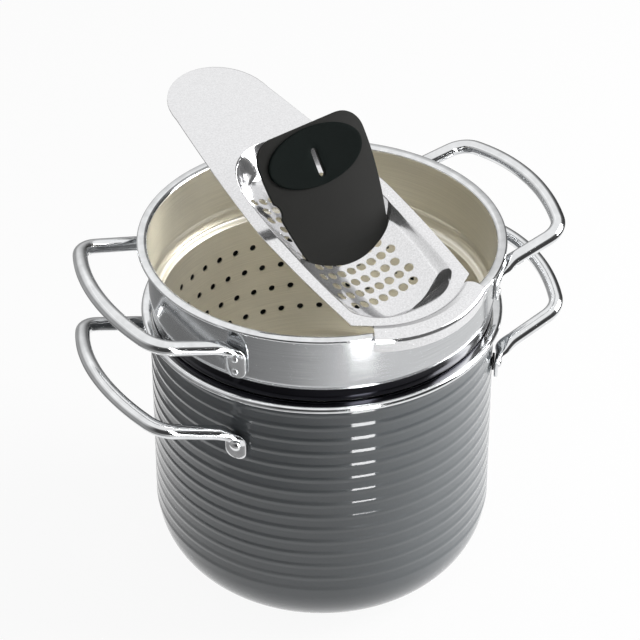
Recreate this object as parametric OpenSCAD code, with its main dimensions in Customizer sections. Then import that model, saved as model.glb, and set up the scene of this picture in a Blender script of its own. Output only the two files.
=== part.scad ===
// Spaetzle maker: a ridged pot, a draining insert that hangs in it, a perforated
// chute hooked on the insert's rim, and a scraper that runs in the chute.
// Millimetres, +Z up. The pot stands on z = 0 and its middle is the origin.
// The handles lie along X. The chute is hooked on at -Y and its grip end is at +Y.

/* [Pot] */
// outer radius of the pot's wall under its rim ring
pot_r = 118.5; // [112:0.5:124]
// how much wider the wall is above the bottom corner
pot_flare = 2.3; // [1.5:0.1:3]
// height of the wall up to the rim ring
pot_h = 208.5; // [200:0.5:216]
// thickness of the pot's wall
pot_wall = 2.9; // [2.4:0.1:3.2]
// thickness of the pot's floor
pot_floor = 5; // [4:0.5:8]
// outer radius of the bottom corner
pot_corner = 50; // [40:1:56]
// number of ridges round the wall
ridge_count = 15; // [8:1:15]
// distance from one ridge to the next
ridge_pitch = 10.77; // [9:0.01:10.9]
// height of a ridge
ridge_h = 0.4; // [0.2:0.05:0.45]

/* [Rim ring] */
// how far the ring stands out past the pot's wall
ring_out = 6; // [5:0.5:7]
// height of the ring above the wall
ring_h = 2.3; // [2:0.1:3]
// how far the ring's lip hangs down past the wall's top
ring_drop = 1.6; // [1:0.1:2]

/* [Pot handles] */
// diameter of the bent tube
tube_d = 10; // [8:0.5:11]
// angle of a handle's foot from the handle's middle, seen from above
foot_angle = 35.3; // [33:0.1:37]
// depth below the wall's top at which the pot's handle leaves the wall
handle_below_top = 30.5; // [27:0.5:36]
// how far the bow stands out from the middle of the pot
pot_handle_out = 167; // [160:0.5:175]
// how far the bow curves outwards
pot_handle_bow = 15.6; // [10:0.1:18]
// radius of the bends between leg and bow
pot_bend_r = 18; // [14:0.5:24]
// upward slope of the handle
pot_handle_slope = 18.8; // [12:0.1:22]
// width of a foot
foot_w = 15.5; // [12:0.5:16]
// thickness of a foot
foot_t = 2.8; // [2:0.1:3.2]
// how far a pot foot reaches down from the handle's line
pot_foot_drop = 19; // [17:0.5:22]
// height of the rivet above the foot's lower end
rivet_up = 10.3; // [8:0.1:12]
// diameter of the rivet's head
rivet_head_d = 8; // [7:0.1:9]
// height of the rivet's head
rivet_head_h = 2.2; // [1.6:0.1:2.6]
// diameter of the rivet's shank
rivet_d = 5; // [4:0.1:6]
// diameter of the dark spacer behind a pot foot
spacer_d = 12; // [10:0.5:13]

/* [Insert] */
// height of the insert's upper part, from shelf to rim
insert_upper_h = 53.6; // [50:0.2:58]
// height of the narrow neck above the shelf
neck_h = 10; // [8:0.5:12]
// width of the rim's flat ring
rim_w = 6.5; // [5:0.1:7.5]
// thickness of the rim's rolled ring
rim_t = 3; // [2.6:0.1:3.6]
// thickness of the insert's sheet
sheet = 0.9; // [0.8:0.05:1.1]
// depth of the basket below the shelf
basket_depth = 118; // [110:1:126]
// radius of the basket's bottom corner
basket_corner = 12; // [8:1:16]
// gap between basket and pot wall
basket_gap = 3.6; // [3.4:0.1:4.5]
// diameter of a draining hole
drain_d = 4.8; // [3.5:0.1:5.2]
// draining holes in one row
drain_per_row = 48; // [24:2:48]
// rows of draining holes in the basket's wall
drain_rows = 4; // [3:1:5]
// distance between two rows
drain_pitch = 20; // [16:0.5:21]
// depth of the top row below the shelf
drain_top = 23.6; // [16:0.2:28]

/* [Insert handles] */
// depth below the rim at which the handle leaves the wall
handle_below_rim = 18.7; // [17:0.1:20]
// how far the bow stands out from the middle of the insert
insert_handle_out = 163.2; // [158:0.2:172]
// how far the bow curves outwards
insert_handle_bow = 13.7; // [10:0.1:18]
// radius of the bends between leg and bow
insert_bend_r = 19; // [14:0.5:24]
// upward slope of the handle
insert_handle_slope = 15; // [12:0.5:20]
// how far an insert foot reaches down from the handle's line
insert_foot_drop = 22; // [20:0.5:23]
// diameter of a weld button
weld_d = 5; // [4:0.1:5.6]
// height of the upper weld button above the foot's lower end
weld_high = 14; // [13:0.5:14]
// height of the lower weld button above the foot's lower end
weld_low = 4.5; // [4:0.5:6]

/* [Chute] */
// turn of the chute away from the Y axis
chute_turn = 9.6; // [0:0.1:15]
// upward slope of the chute as it is held
chute_tilt = 13.1; // [10:0.1:18]
// sideways position of the chute on the rim
chute_shift = 3.8; // [0:0.1:6]
// length from the rim hook to the grip end
chute_len = 275; // [262:1:290]
// half of the chute's greatest width
chute_half = 53; // [51:0.5:56]
// half of the chute's width where the grip end starts to round
chute_end_half = 38.4; // [34:0.2:42]
// half of the trough's greatest width at its mouth
mouth_half = 44; // [42:0.2:45]
// where the trough starts, from the rim hook
mouth_start = 11.8; // [10:0.2:14]
// where the trough ends, from the rim hook
mouth_end = 190; // [180:1:196]
// radius of the trough's round floor
floor_r = 67.7; // [66:0.1:72]
// depth of the trough
trough_depth = 20.9; // [19:0.1:21.5]
// half of the trough's width at the bottom of its sloping walls
floor_half = 32; // [31.8:0.1:33]
// run of the trough's end walls, seen from above
wall_run = 14; // [12:0.5:15]
// diameter of a pressing hole
press_d = 6.5; // [5:0.1:6.8]
// rows of pressing holes
press_rows = 12; // [6:1:12]
// distance between two rows of pressing holes
press_pitch = 10; // [9:0.1:10.2]
// distance of the first row from the rim hook
press_start = 44.4; // [42:0.2:48]
// height of the hump that lies on the rim
hump_h = 3.85; // [3.8:0.05:4.5]
// length of the skirt that hangs outside the rim
skirt_h = 6.5; // [5:0.5:8]

/* [Scraper] */
// position of the blade's lower edge, from the rim hook
blade_at = 84; // [78:1:90]
// lean of the blade towards the grip end
blade_lean = 46; // [40:1:50]
// sideways roll of the blade round the trough's axis
blade_roll = 3.5; // [0:0.1:3.7]
// height of the blade
blade_h = 94; // [88:1:100]
// half of the blade's greatest width
blade_half = 42.1; // [40:0.1:42.2]
// thickness of the blade
blade_t = 2.5; // [2:0.1:3]
// height of the oval grip's middle above the lower edge
grip_up = 72.5; // [70:0.5:75]
// half of the oval grip's width
grip_half_w = 37; // [32:0.5:38]
// half of the oval grip's height
grip_half_h = 19.5; // [16:0.5:20]
// thickness of the oval grip
grip_t = 1.8; // [1.2:0.1:2.5]
// width of the hang slot
slot_w = 5; // [4.4:0.1:6]
// length of the hang slot
slot_len = 20; // [16:0.5:22]

/* [Colours] */
// enamel on the pot
enamel_colour = "#5f6366";
// polished steel
steel_colour = "#d6d8da";
// blade's plastic
blade_colour = "#282826";
// grip's plastic
grip_colour = "#131c1a";
// spacers behind the pot's feet
spacer_colour = "#1b1c1d";

/* [Hidden] */

round_fn = 96;
small_fn = 32;
hole_fn = 24;

// clearances
seat_gap = 0.3;
face_gap = 0.1;
shank_gap = 0.08;
floor_gap = 0.3;
cut_extra = 1;
bore_start = 3;

// ---- pot ----
pot_low_r = pot_r + pot_flare;
pot_in_r = pot_r - pot_wall;
ridge_first = 7.4;
ridge_half_w = 2.2;
ring_inner_bevel = 0.6;
ring_flat = 2.4;
ring_edge_t = 0.8;
ring_top = pot_h + ring_h;

// radius of the plain wall at a height
function wall_at(z) = pot_r + pot_flare * (pot_h - z) / (pot_h - pot_corner);

// one ridge as a low arc on the wall, listed from top to bottom
ridge_steps = 4;
function ridge_points(zc) = [
    for (i = [0 : ridge_steps])
        let (z = zc + ridge_half_w * (1 - 2 * i / ridge_steps),
             lift = sin(180 * i / ridge_steps))
        [wall_at(z) + ridge_h * lift, z]];

ridge_zs = [for (i = [0 : ridge_count - 1]) pot_h - ridge_first - ridge_pitch * i];

corner_steps = 14;
pot_outline = concat(
    [[0, 0], [0, pot_floor], [pot_low_r - pot_corner, pot_floor]],
    [for (i = [1 : corner_steps])
        let (a = -90 + 90 * i / corner_steps)
        [pot_low_r - pot_corner + (pot_corner - pot_wall) * cos(a),
         pot_corner + (pot_corner - pot_floor) * sin(a)]],
    [[pot_in_r, pot_h], [pot_r, pot_h]],
    [for (zc = ridge_zs) each ridge_points(zc)],
    [for (i = [0 : corner_steps])
        let (a = -90 * i / corner_steps)
        [pot_low_r - pot_corner + pot_corner * cos(a), pot_corner + pot_corner * sin(a)]]);

ring_outline = [
    [pot_in_r, pot_h],
    [pot_in_r, ring_top - ring_inner_bevel],
    [pot_in_r + ring_inner_bevel, ring_top],
    [pot_in_r + ring_flat, ring_top],
    [pot_r + ring_out / 3, ring_top - ring_h / 4],
    [pot_r + ring_out * 0.72, pot_h + ring_h * 0.3],
    [pot_r + ring_out, pot_h - ring_drop + ring_edge_t + 0.2],
    [pot_r + ring_out, pot_h - ring_drop + 0.2],
    [pot_r + ring_out - ring_edge_t, pot_h - ring_drop],
    [pot_r + ring_out / 2, pot_h - ring_drop / 3],
    [pot_r + ring_edge_t, pot_h]];

// ---- insert ----
shelf_z = ring_top + seat_gap;
rim_z = shelf_z + insert_upper_h;
insert_r = pot_r;
rim_r = insert_r + rim_w;
neck_r = insert_r - 1.2;
neck_z = shelf_z + neck_h;
step_z = neck_z + 1.8;
basket_r = pot_in_r - basket_gap;
basket_z = shelf_z - basket_depth;
rim_round = 1.4;
rim_inner_round = rim_t;
neck_corner = 1.5;
neck_fillet = 3;
bead_h = 0.35;
arc_steps = 6;

// points of an arc round [cr, cz], from angle a0 to angle a1
function arc(cr, cz, r, a0, a1, n) =
    [for (i = [0 : n]) let (a = a0 + (a1 - a0) * i / n) [cr + r * cos(a), cz + r * sin(a)]];

insert_outline = concat(
    // outside, from the basket's floor up to the rim
    [[0, basket_z]],
    arc(basket_r - basket_corner, basket_z + basket_corner, basket_corner, -90, 0, arc_steps),
    [[basket_r, shelf_z]],
    arc(neck_r - neck_corner, shelf_z + neck_corner, neck_corner, -90, 0, arc_steps),
    [[neck_r, neck_z],
     [insert_r - 0.6, neck_z + 0.9],
     [insert_r - 0.6 + bead_h, step_z - 0.4],
     [insert_r - 0.3, step_z],
     [insert_r, step_z + 1.2],
     [insert_r, rim_z - rim_t]],
    arc(rim_r - rim_round, rim_z - rim_t + rim_round, rim_round, -90, 0, arc_steps),
    arc(rim_r - rim_round, rim_z - rim_round, rim_round, 0, 90, arc_steps),
    // inside, from the rim down to the basket's floor
    arc(insert_r - sheet + rim_inner_round, rim_z - rim_inner_round, rim_inner_round,
        90, 180, arc_steps),
    [[insert_r - sheet, step_z + 0.8],
     [insert_r - sheet - 0.3, step_z],
     [neck_r - sheet + 0.15, neck_z + 0.2],
     [neck_r - sheet, neck_z - 0.9],
     [neck_r - sheet, shelf_z + sheet + neck_fillet]],
    arc(neck_r - sheet - neck_fillet, shelf_z + sheet + neck_fillet, neck_fillet,
        0, -90, arc_steps),
    arc(basket_r - sheet + 1, shelf_z + sheet - 1, 1, 90, 180, 3),
    arc(basket_r - basket_corner, basket_z + basket_corner, basket_corner - sheet,
        0, -90, arc_steps),
    [[0, basket_z + sheet]]);

floor_ring_r = [20, 40, 60, 80];
floor_ring_n = [8, 16, 24, 32];

// ---- handles ----
insert_handle_z = rim_z - handle_below_rim;
insert_foot_r = insert_r + seat_gap;
leg_angle = 3.7;
leg_start = 8;
bend_swell = 0.14;
tube_lap = 0.8;
foot_top = 5;
foot_top_round = 3;

pot_handle_z = pot_h - handle_below_top;
pot_foot_z = pot_handle_z - pot_foot_drop;
rivet_z = pot_foot_z + rivet_up;
rivet_wall_r = wall_at(rivet_z) + ridge_h;
spacer_in_r = rivet_wall_r + face_gap;
spacer_t = 1.5;
spacer_out_r = spacer_in_r + spacer_t;
pot_foot_r = spacer_out_r + spacer_d * spacer_d / (8 * pot_r) + face_gap;
rivet_in_head_t = 1.2;
head_lap = 0.5;
rivet_in_head_d = 9;
rivet_in_r = wall_at(rivet_z) - pot_wall - pot_flare - seat_gap;

weld_stud_d = 3;
weld_head_h = 1.1;

// ---- chute ----
// the chute tilts about the middle of the rim's inner bend
tilt_out = insert_r - sheet + rim_inner_round;
tilt_z = rim_z - rim_inner_round;
tilt_s = -0.9;
tilt_n = -1.4;
trough_axis = floor_r - trough_depth;
widest_at = 112;
end_round_at = chute_len - chute_end_half;
lip_centre = 78;
lip_r = lip_centre - tilt_s;
lip_flat_r = 74.5;
lip_left = 30;
lip_right = 32.6;
side_from = 20;
side_bow = 0.00054;
side_power = 1.3;
side_steps = 12;
end_steps = 14;

// half width of the plate at a distance s from the rim hook
function plate_half(s) = s < widest_at
    ? chute_half - side_bow * pow(widest_at - s, 2)
    : chute_half - (chute_half - chute_end_half)
      * pow((s - widest_at) / (end_round_at - widest_at), side_power);

plate_side = [for (i = [0 : side_steps])
    let (s = side_from + (end_round_at - side_from) * i / side_steps) [plate_half(s), s]];
plate_half_outline = concat(
    [for (i = [0 : 6])
        let (a = lip_left * i / 6)
        [lip_flat_r * sin(a), lip_centre - lip_flat_r * cos(a)]],
    plate_side,
    [for (i = [1 : end_steps])
        let (a = 90 * i / end_steps)
        [chute_end_half * cos(a), end_round_at + chute_end_half * sin(a)]]);

// half width of the trough's mouth at a distance s from the rim hook
mouth_widest_at = 83;
mouth_turn_at = 136;
mouth_bow = 0.00095;
mouth_power = 2.2;
function mouth_side(s) = mouth_half - mouth_bow * pow(s - mouth_widest_at, 2);
function mouth_close(s) = mouth_side(mouth_turn_at)
    * pow(1 - pow((s - mouth_turn_at) / (mouth_end - mouth_turn_at), mouth_power),
          1 / mouth_power);
function mouth_front(t) = mouth_start + 10.1 * pow(t / 50, 2) + 23.3 * pow(t / 50, 4);
mouth_corner_t = mouth_half - 3.2;
mouth_half_outline = concat(
    [for (i = [0 : 8]) let (t = mouth_corner_t * i / 8) [t, mouth_front(t)]],
    [for (i = [1 : 8])
        let (s = mouth_front(mouth_corner_t) + 3
                 + (mouth_turn_at - mouth_front(mouth_corner_t) - 3) * i / 8)
        [mouth_side(s), s]],
    [for (i = [1 : 11])
        let (s = mouth_turn_at + (mouth_end - mouth_turn_at) * sin(90 * i / 12))
        [mouth_close(s), s]],
    [[0, mouth_end]]);

// the trough's outline where its sloping walls end
floor_front_round = 26;
floor_end_round = 30;
floor_half_outline = concat(
    [[0, mouth_start + wall_run]],
    arc(floor_half - floor_front_round, mouth_start + wall_run + floor_front_round,
        floor_front_round, -90, 0, 7),
    arc(floor_half - floor_end_round, mouth_end - wall_run - floor_end_round,
        floor_end_round, 0, 90, 8),
    [[0, mouth_end - wall_run]]);

// the lip in section, from the point it tilts about: outwards and up
lip_under_r = rim_t + 0.42;
lip_over_r = lip_under_r + sheet;
lip_top_from = 161;
lip_top_to = 112;
lip_arc_from = 171.5;
lip_arc_to = 110;
lip_top = concat(
    arc(0, 0, lip_over_r, lip_top_from, lip_top_to, 4),
    [[0.35, lip_over_r + 0.45],
     [1.5, hump_h + 1.35],
     [2.8, hump_h + 1.45],
     [5, hump_h + 1.4],
     [7.5, hump_h + 1.05],
     [9.6, hump_h + 0.65],
     [10.6, hump_h - 0.15],
     [11.2, hump_h - 1.65],
     [11.8, -skirt_h / 2 + 1.4],
     [12.1, -skirt_h + 1.4]]);
lip_bottom = concat(
    [[12.1 - sheet, -skirt_h + 1.4],
     [11.8 - sheet, -skirt_h / 2 + 1.4],
     [11.2 - sheet, hump_h - 1.8],
     [9.85, hump_h - 0.85],
     [9.2, hump_h - 0.2],
     [7.4, hump_h + 0.15],
     [5, hump_h + 0.5],
     [2.9, hump_h + 0.55],
     [1.7, hump_h + 0.48],
     [0.5, hump_h + 0.05],
     [-0.2, lip_under_r + 0.18]],
    arc(0, 0, lip_under_r, lip_arc_to, lip_arc_from, 4));
lip_profile = concat(
    [[lip_flat_r - 1, 0]],
    [for (q = lip_top) [lip_r + q[0], tilt_n + q[1]]],
    [for (q = lip_bottom) [lip_r + q[0], tilt_n + q[1]]],
    [[lip_r - lip_under_r, -sheet], [lip_flat_r - 1, -sheet]]);

press_turn = 6.94;

// ---- scraper ----
// half widths of the blade up its height, as shares of the greatest
blade_low_half = 29.6;
blade_bow_h = 72;
function blade_side(h) = h < blade_bow_h
    ? blade_half - (blade_half - blade_low_half) * pow((blade_bow_h - h) / blade_bow_h, 1.75)
    : blade_half;
blade_corner = 16;
notch_r = 7;
notch_in = 4.5;
notch_h = 47.5;
blade_half_outline = concat(
    [for (i = [0 : 10]) let (h = blade_bow_h * i / 10) [blade_side(h), h]],
    [for (i = [0 : 8])
        let (a = 90 * i / 8)
        [blade_half - blade_corner + blade_corner * cos(a),
         blade_h - blade_corner + blade_corner * sin(a)]]);
grip_steps = 72;
grip_bevel = 0.8;
slot_up = 68;

// a half outline and its mirror image, as one closed outline
function both_sides(half) = concat(
    half,
    [for (i = [len(half) - 1 : -1 : 0]) if (half[i][0] > 0.001) [-half[i][0], half[i][1]]]);

// ---- helpers ----
module at_foot(side_x, side_y) {
    mirror([side_x < 0 ? 1 : 0, 0, 0])
        mirror([0, side_y < 0 ? 1 : 0, 0])
            rotate([0, 0, foot_angle])
                children();
}

// a stretch of bent tube of diameter d: an arc round the current origin
module tube_arc(radius, d, from, to) {
    rotate([0, 0, from])
        rotate_extrude(angle = to - from, $fn = round_fn)
            translate([radius, 0])
                circle(d = d, $fn = small_fn);
}

// outline of a foot, x along the wall and y up
module foot_outline(low, high) {
    half = foot_w / 2;
    inner = half - foot_top_round;
    translate([0, low + half])
        circle(r = half, $fn = small_fn);
    translate([-half, low + half])
        square([foot_w, high - low - half - foot_top_round]);
    translate([-inner, high - foot_top_round - 1])
        square([2 * inner, foot_top_round + 1]);
    for (x = [-inner, inner])
        translate([x, high - foot_top_round])
            circle(r = foot_top_round, $fn = small_fn);
}

// a foot bent to the round of the wall, inner face at radius r
module foot(r, low, high) {
    intersection() {
        translate([0, 0, low - cut_extra])
            difference() {
                cylinder(r = r + foot_t, h = high - low + 2 * cut_extra, $fn = round_fn * 2);
                translate([0, 0, -cut_extra])
                    cylinder(r = r, h = high - low + 4 * cut_extra, $fn = round_fn * 2);
            }
        rotate([90, 0, 90])
            linear_extrude(r + 2 * foot_t)
                foot_outline(low, high);
    }
}

// bent tube in its own plane: x outwards from the foot, y along the bow
module bent_tube(foot_y, out, bow_r, bend_r) {
    k = tan(leg_angle);
    off = foot_y - bend_r / cos(leg_angle);
    bow_x = out - bow_r;
    qa = 1 + k * k;
    qb = -2 * (bow_x + k * off);
    qc = bow_x * bow_x + off * off - pow(bow_r - bend_r, 2);
    bend_x = (-qb + sqrt(qb * qb - 4 * qa * qc)) / (2 * qa);
    bend_y = off - k * bend_x;
    bow_a = atan2(bend_y, bend_x - bow_x);
    bow_lap = tube_lap / bow_r * 180 / PI;
    leg_len = (bend_x + bend_r * sin(leg_angle)) / cos(leg_angle) + tube_lap;
    translate([bow_x, 0, 0])
        tube_arc(bow_r, tube_d, -bow_a - bow_lap, bow_a + bow_lap);
    for (side = [0, 1])
        mirror([0, side, 0]) {
            translate([bend_x, bend_y, 0])
                tube_arc(bend_r, tube_d + bend_swell, bow_a, 90 - leg_angle);
            translate([0, foot_y, 0])
                rotate([0, 0, -leg_angle])
                    translate([-leg_start, 0, 0])
                        rotate([0, 90, 0])
                            cylinder(d = tube_d, h = leg_len + leg_start, $fn = small_fn);
        }
}

// a handle on the +X side: two feet and the bent tube, which ends inside the feet
module handle(foot_r, line_z, out_x, bow, bend_r, slope, drop) {
    foot_x = foot_r * cos(foot_angle);
    foot_y = foot_r * sin(foot_angle);
    reach = (out_x - foot_x) / cos(slope);
    bow_run = bow / cos(slope);
    half = foot_y - reach * tan(leg_angle);
    bow_r = (half * half + bow_run * bow_run) / (2 * bow_run);
    difference() {
        translate([foot_x, 0, line_z])
            rotate([0, -slope, 0])
                bent_tube(foot_y, reach, bow_r, bend_r);
        translate([0, 0, line_z - tube_d])
            cylinder(r = foot_r + foot_t / 2, h = 2 * tube_d, $fn = round_fn * 2);
    }
    for (side = [0, 1])
        mirror([0, side, 0])
            rotate([0, 0, foot_angle])
                foot(foot_r, line_z - drop, line_z + foot_top);
}

// dome with its flat face at z = 0
module dome(d, h) {
    ball_r = (d * d / 4 + h * h) / (2 * h);
    intersection() {
        translate([0, 0, h - ball_r])
            sphere(r = ball_r, $fn = small_fn * 2);
        cylinder(d = d + 1, h = h + 1, $fn = small_fn);
    }
}

// ---- pot ----
module pot_shell() {
    color(enamel_colour)
        difference() {
            rotate_extrude($fn = round_fn * 2)
                polygon(pot_outline);
            for (side_x = [-1, 1])
                for (side_y = [-1, 1])
                    at_foot(side_x, side_y)
                        translate([pot_in_r - bore_start, 0, rivet_z])
                            rotate([0, 90, 0])
                                cylinder(d = rivet_d + 2 * shank_gap,
                                         h = pot_wall + 3 * bore_start, $fn = small_fn);
        }
}

module pot_rim_ring() {
    color(steel_colour)
        rotate_extrude($fn = round_fn * 2)
            polygon(ring_outline);
}

module pot_handle() {
    color(steel_colour)
        difference() {
            handle(pot_foot_r, pot_handle_z, pot_handle_out, pot_handle_bow,
                   pot_bend_r, pot_handle_slope, pot_foot_drop);
            for (side_y = [-1, 1])
                at_foot(1, side_y)
                    translate([pot_foot_r - bore_start, 0, rivet_z])
                        rotate([0, 90, 0])
                            cylinder(d = rivet_d + 2 * shank_gap, h = foot_t + 2 * bore_start,
                                     $fn = small_fn);
        }
}

module pot_handle_right() {
    pot_handle();
}

module pot_handle_left() {
    mirror([1, 0, 0])
        pot_handle();
}

module pot_rivet(side_x, side_y) {
    head_r = pot_foot_r + foot_t + face_gap;
    color(steel_colour)
        at_foot(side_x, side_y)
            translate([0, 0, rivet_z])
                rotate([0, 90, 0]) {
                    translate([0, 0, rivet_in_r - head_lap])
                        cylinder(d = rivet_d, h = head_r - rivet_in_r + 2 * head_lap,
                                 $fn = small_fn);
                    translate([0, 0, rivet_in_r - rivet_in_head_t])
                        cylinder(d = rivet_in_head_d, h = rivet_in_head_t, $fn = small_fn);
                    translate([0, 0, head_r])
                        dome(rivet_head_d, rivet_head_h);
                }
}

module pot_rivet_left_front() {
    pot_rivet(-1, -1);
}

module pot_rivet_left_back() {
    pot_rivet(-1, 1);
}

module pot_rivet_right_front() {
    pot_rivet(1, -1);
}

module pot_rivet_right_back() {
    pot_rivet(1, 1);
}

module pot_spacer(side_x, side_y) {
    color(spacer_colour)
        at_foot(side_x, side_y)
            translate([spacer_in_r, 0, rivet_z])
                rotate([0, 90, 0])
                    difference() {
                        cylinder(d = spacer_d, h = spacer_t, $fn = small_fn);
                        translate([0, 0, -cut_extra])
                            cylinder(d = rivet_d + 2 * shank_gap, h = spacer_t + 2 * cut_extra,
                                     $fn = small_fn);
                    }
}

module pot_spacer_left_front() {
    pot_spacer(-1, -1);
}

module pot_spacer_left_back() {
    pot_spacer(-1, 1);
}

module pot_spacer_right_front() {
    pot_spacer(1, -1);
}

module pot_spacer_right_back() {
    pot_spacer(1, 1);
}

// ---- insert ----
module insert_shell() {
    color(steel_colour)
        difference() {
            rotate_extrude($fn = round_fn * 2)
                polygon(insert_outline);
            for (row = [0 : drain_rows - 1])
                for (i = [0 : drain_per_row - 1])
                    rotate([0, 0, (i + (row % 2) / 2) * 360 / drain_per_row])
                        translate([basket_r - sheet - cut_extra, 0,
                                   shelf_z - drain_top - drain_pitch * row])
                            rotate([0, 90, 0])
                                cylinder(d = drain_d, h = sheet + 2 * cut_extra,
                                         $fn = hole_fn);
            for (k = [0 : len(floor_ring_r) - 1])
                for (i = [0 : floor_ring_n[k] - 1])
                    rotate([0, 0, i * 360 / floor_ring_n[k]])
                        translate([floor_ring_r[k], 0, basket_z - cut_extra])
                            cylinder(d = drain_d, h = sheet + 2 * cut_extra, $fn = hole_fn);
            translate([0, 0, basket_z - cut_extra])
                cylinder(d = drain_d, h = sheet + 2 * cut_extra, $fn = hole_fn);
        }
}

module insert_handle() {
    foot_low = insert_handle_z - insert_foot_drop;
    color(steel_colour)
        difference() {
            handle(insert_foot_r, insert_handle_z, insert_handle_out, insert_handle_bow,
                   insert_bend_r, insert_handle_slope, insert_foot_drop);
            for (side_y = [-1, 1])
                for (up = [weld_low, weld_high])
                    at_foot(1, side_y)
                        translate([insert_foot_r - bore_start, 0, foot_low + up])
                            rotate([0, 90, 0])
                                cylinder(d = weld_stud_d + 2 * shank_gap,
                                         h = foot_t + 3 * bore_start, $fn = hole_fn);
        }
}

module insert_handle_right() {
    insert_handle();
}

module insert_handle_left() {
    mirror([1, 0, 0])
        insert_handle();
}

module insert_welds(side_x, side_y) {
    head_r = insert_foot_r + foot_t + face_gap;
    foot_low = insert_handle_z - insert_foot_drop;
    color(steel_colour)
        at_foot(side_x, side_y)
            for (up = [weld_low, weld_high])
                translate([0, 0, foot_low + up])
                    rotate([0, 90, 0]) {
                        translate([0, 0, insert_foot_r])
                            cylinder(d = weld_stud_d, h = head_r - insert_foot_r + head_lap,
                                     $fn = hole_fn);
                        translate([0, 0, head_r])
                            dome(weld_d, weld_head_h);
                    }
}

module insert_welds_left_front() {
    insert_welds(-1, -1);
}

module insert_welds_left_back() {
    insert_welds(-1, 1);
}

module insert_welds_right_front() {
    insert_welds(1, -1);
}

module insert_welds_right_back() {
    insert_welds(1, 1);
}

// ---- chute ----
module on_chute() {
    rotate([0, 0, chute_turn])
        translate([-chute_shift, -tilt_out, tilt_z])
            rotate([chute_tilt, 0, 0])
                translate([0, -tilt_s, -tilt_n])
                    children();
}

module grown_outline(half, grow) {
    offset(delta = grow)
        polygon(both_sides(half));
}

// the trough's hollow, or its outer body when grown by the sheet's thickness
module trough(grow) {
    slice = 0.02;
    intersection() {
        hull() {
            translate([0, 0, -slice])
                linear_extrude(slice)
                    grown_outline(mouth_half_outline, grow);
            translate([0, 0, -trough_depth - grow - slice])
                linear_extrude(slice)
                    grown_outline(floor_half_outline, grow);
        }
        translate([0, 0, trough_axis])
            rotate([-90, 0, 0])
                cylinder(r = floor_r + grow, h = mouth_end + 10, $fn = round_fn * 2);
    }
}

module press_holes() {
    for (row = [0 : press_rows - 1])
        for (i = [0 : 6 + row % 2])
            translate([0, press_start + press_pitch * row, trough_axis])
                rotate([0, (i - 3 - (row % 2) / 2) * press_turn, 0])
                    translate([0, 0, -floor_r - sheet - cut_extra])
                        cylinder(d = press_d, h = sheet + 2 * cut_extra, $fn = hole_fn);
}

module chute_tray() {
    color(steel_colour)
        on_chute()
            difference() {
                union() {
                    translate([0, 0, -sheet])
                        linear_extrude(sheet)
                            polygon(both_sides(plate_half_outline));
                    trough(sheet);
                    translate([0, lip_centre, 0])
                        rotate([0, 0, -90 - lip_left])
                            rotate_extrude(angle = lip_left + lip_right, $fn = round_fn * 2)
                                polygon(lip_profile);
                }
                trough(0);
                translate([0, 0, -0.01])
                    linear_extrude(cut_extra)
                        polygon(both_sides(mouth_half_outline));
                press_holes();
            }
}

// ---- scraper ----
module on_blade() {
    on_chute()
        translate([0, blade_at, trough_axis])
            rotate([0, -blade_roll, 0])
                translate([0, 0, -floor_r])
                    rotate([-blade_lean, 0, 0])
                        rotate([90, 0, 0])
                            children();
}

module slot_outline() {
    translate([0, slot_up - slot_len / 2 + slot_w / 2])
        circle(d = slot_w, $fn = small_fn);
    translate([0, slot_up + slot_len / 2 - slot_w / 2])
        circle(d = slot_w, $fn = small_fn);
    translate([-slot_w / 2, slot_up - slot_len / 2 + slot_w / 2])
        square([slot_w, slot_len - slot_w]);
}

module blade_outline() {
    difference() {
        polygon(both_sides(blade_half_outline));
        slot_outline();
        translate([-blade_half - notch_r + notch_in, notch_h])
            circle(r = notch_r, $fn = small_fn);
    }
}

module scraper_blade() {
    color(blade_colour)
        intersection() {
            on_blade()
                linear_extrude(blade_t)
                    blade_outline();
            on_chute()
                translate([0, 0, trough_axis])
                    rotate([-90, 0, 0])
                        cylinder(r = floor_r - floor_gap, h = chute_len, $fn = round_fn * 2);
        }
}

function oval(half_w, half_h) =
    [for (i = [0 : grip_steps - 1])
        let (a = 360 * i / grip_steps)
        [half_w * cos(a), grip_up + half_h * sin(a)]];

module scraper_grip() {
    color(grip_colour)
        on_blade()
            translate([0, 0, blade_t])
                difference() {
                    union() {
                        linear_extrude(grip_t - grip_bevel)
                            polygon(oval(grip_half_w, grip_half_h));
                        linear_extrude(grip_t)
                            polygon(oval(grip_half_w - grip_bevel, grip_half_h - grip_bevel));
                    }
                    translate([0, 0, -cut_extra])
                        linear_extrude(grip_t + 2 * cut_extra)
                            slot_outline();
                }
}

pot_shell();
pot_rim_ring();
pot_handle_left();
pot_handle_right();
pot_rivet_left_front();
pot_rivet_left_back();
pot_rivet_right_front();
pot_rivet_right_back();
pot_spacer_left_front();
pot_spacer_left_back();
pot_spacer_right_front();
pot_spacer_right_back();
insert_shell();
insert_handle_left();
insert_handle_right();
insert_welds_left_front();
insert_welds_left_back();
insert_welds_right_front();
insert_welds_right_back();
chute_tray();
scraper_blade();
scraper_grip();
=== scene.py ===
"""Looks of the spaetzle maker: ridged pot, draining insert, perforated chute and scraper.

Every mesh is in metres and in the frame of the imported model. Sizes in the classes
below are millimetres, as they would stand on a drawing, and are turned into metres
when a mesh is made.
"""
import logging
import math
from dataclasses import dataclass, field
from enum import Enum
from typing import Any, Sequence

import bmesh
import bpy
import numpy as np
from mathutils import Matrix, Vector
from mathutils.geometry import tessellate_polygon


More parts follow.
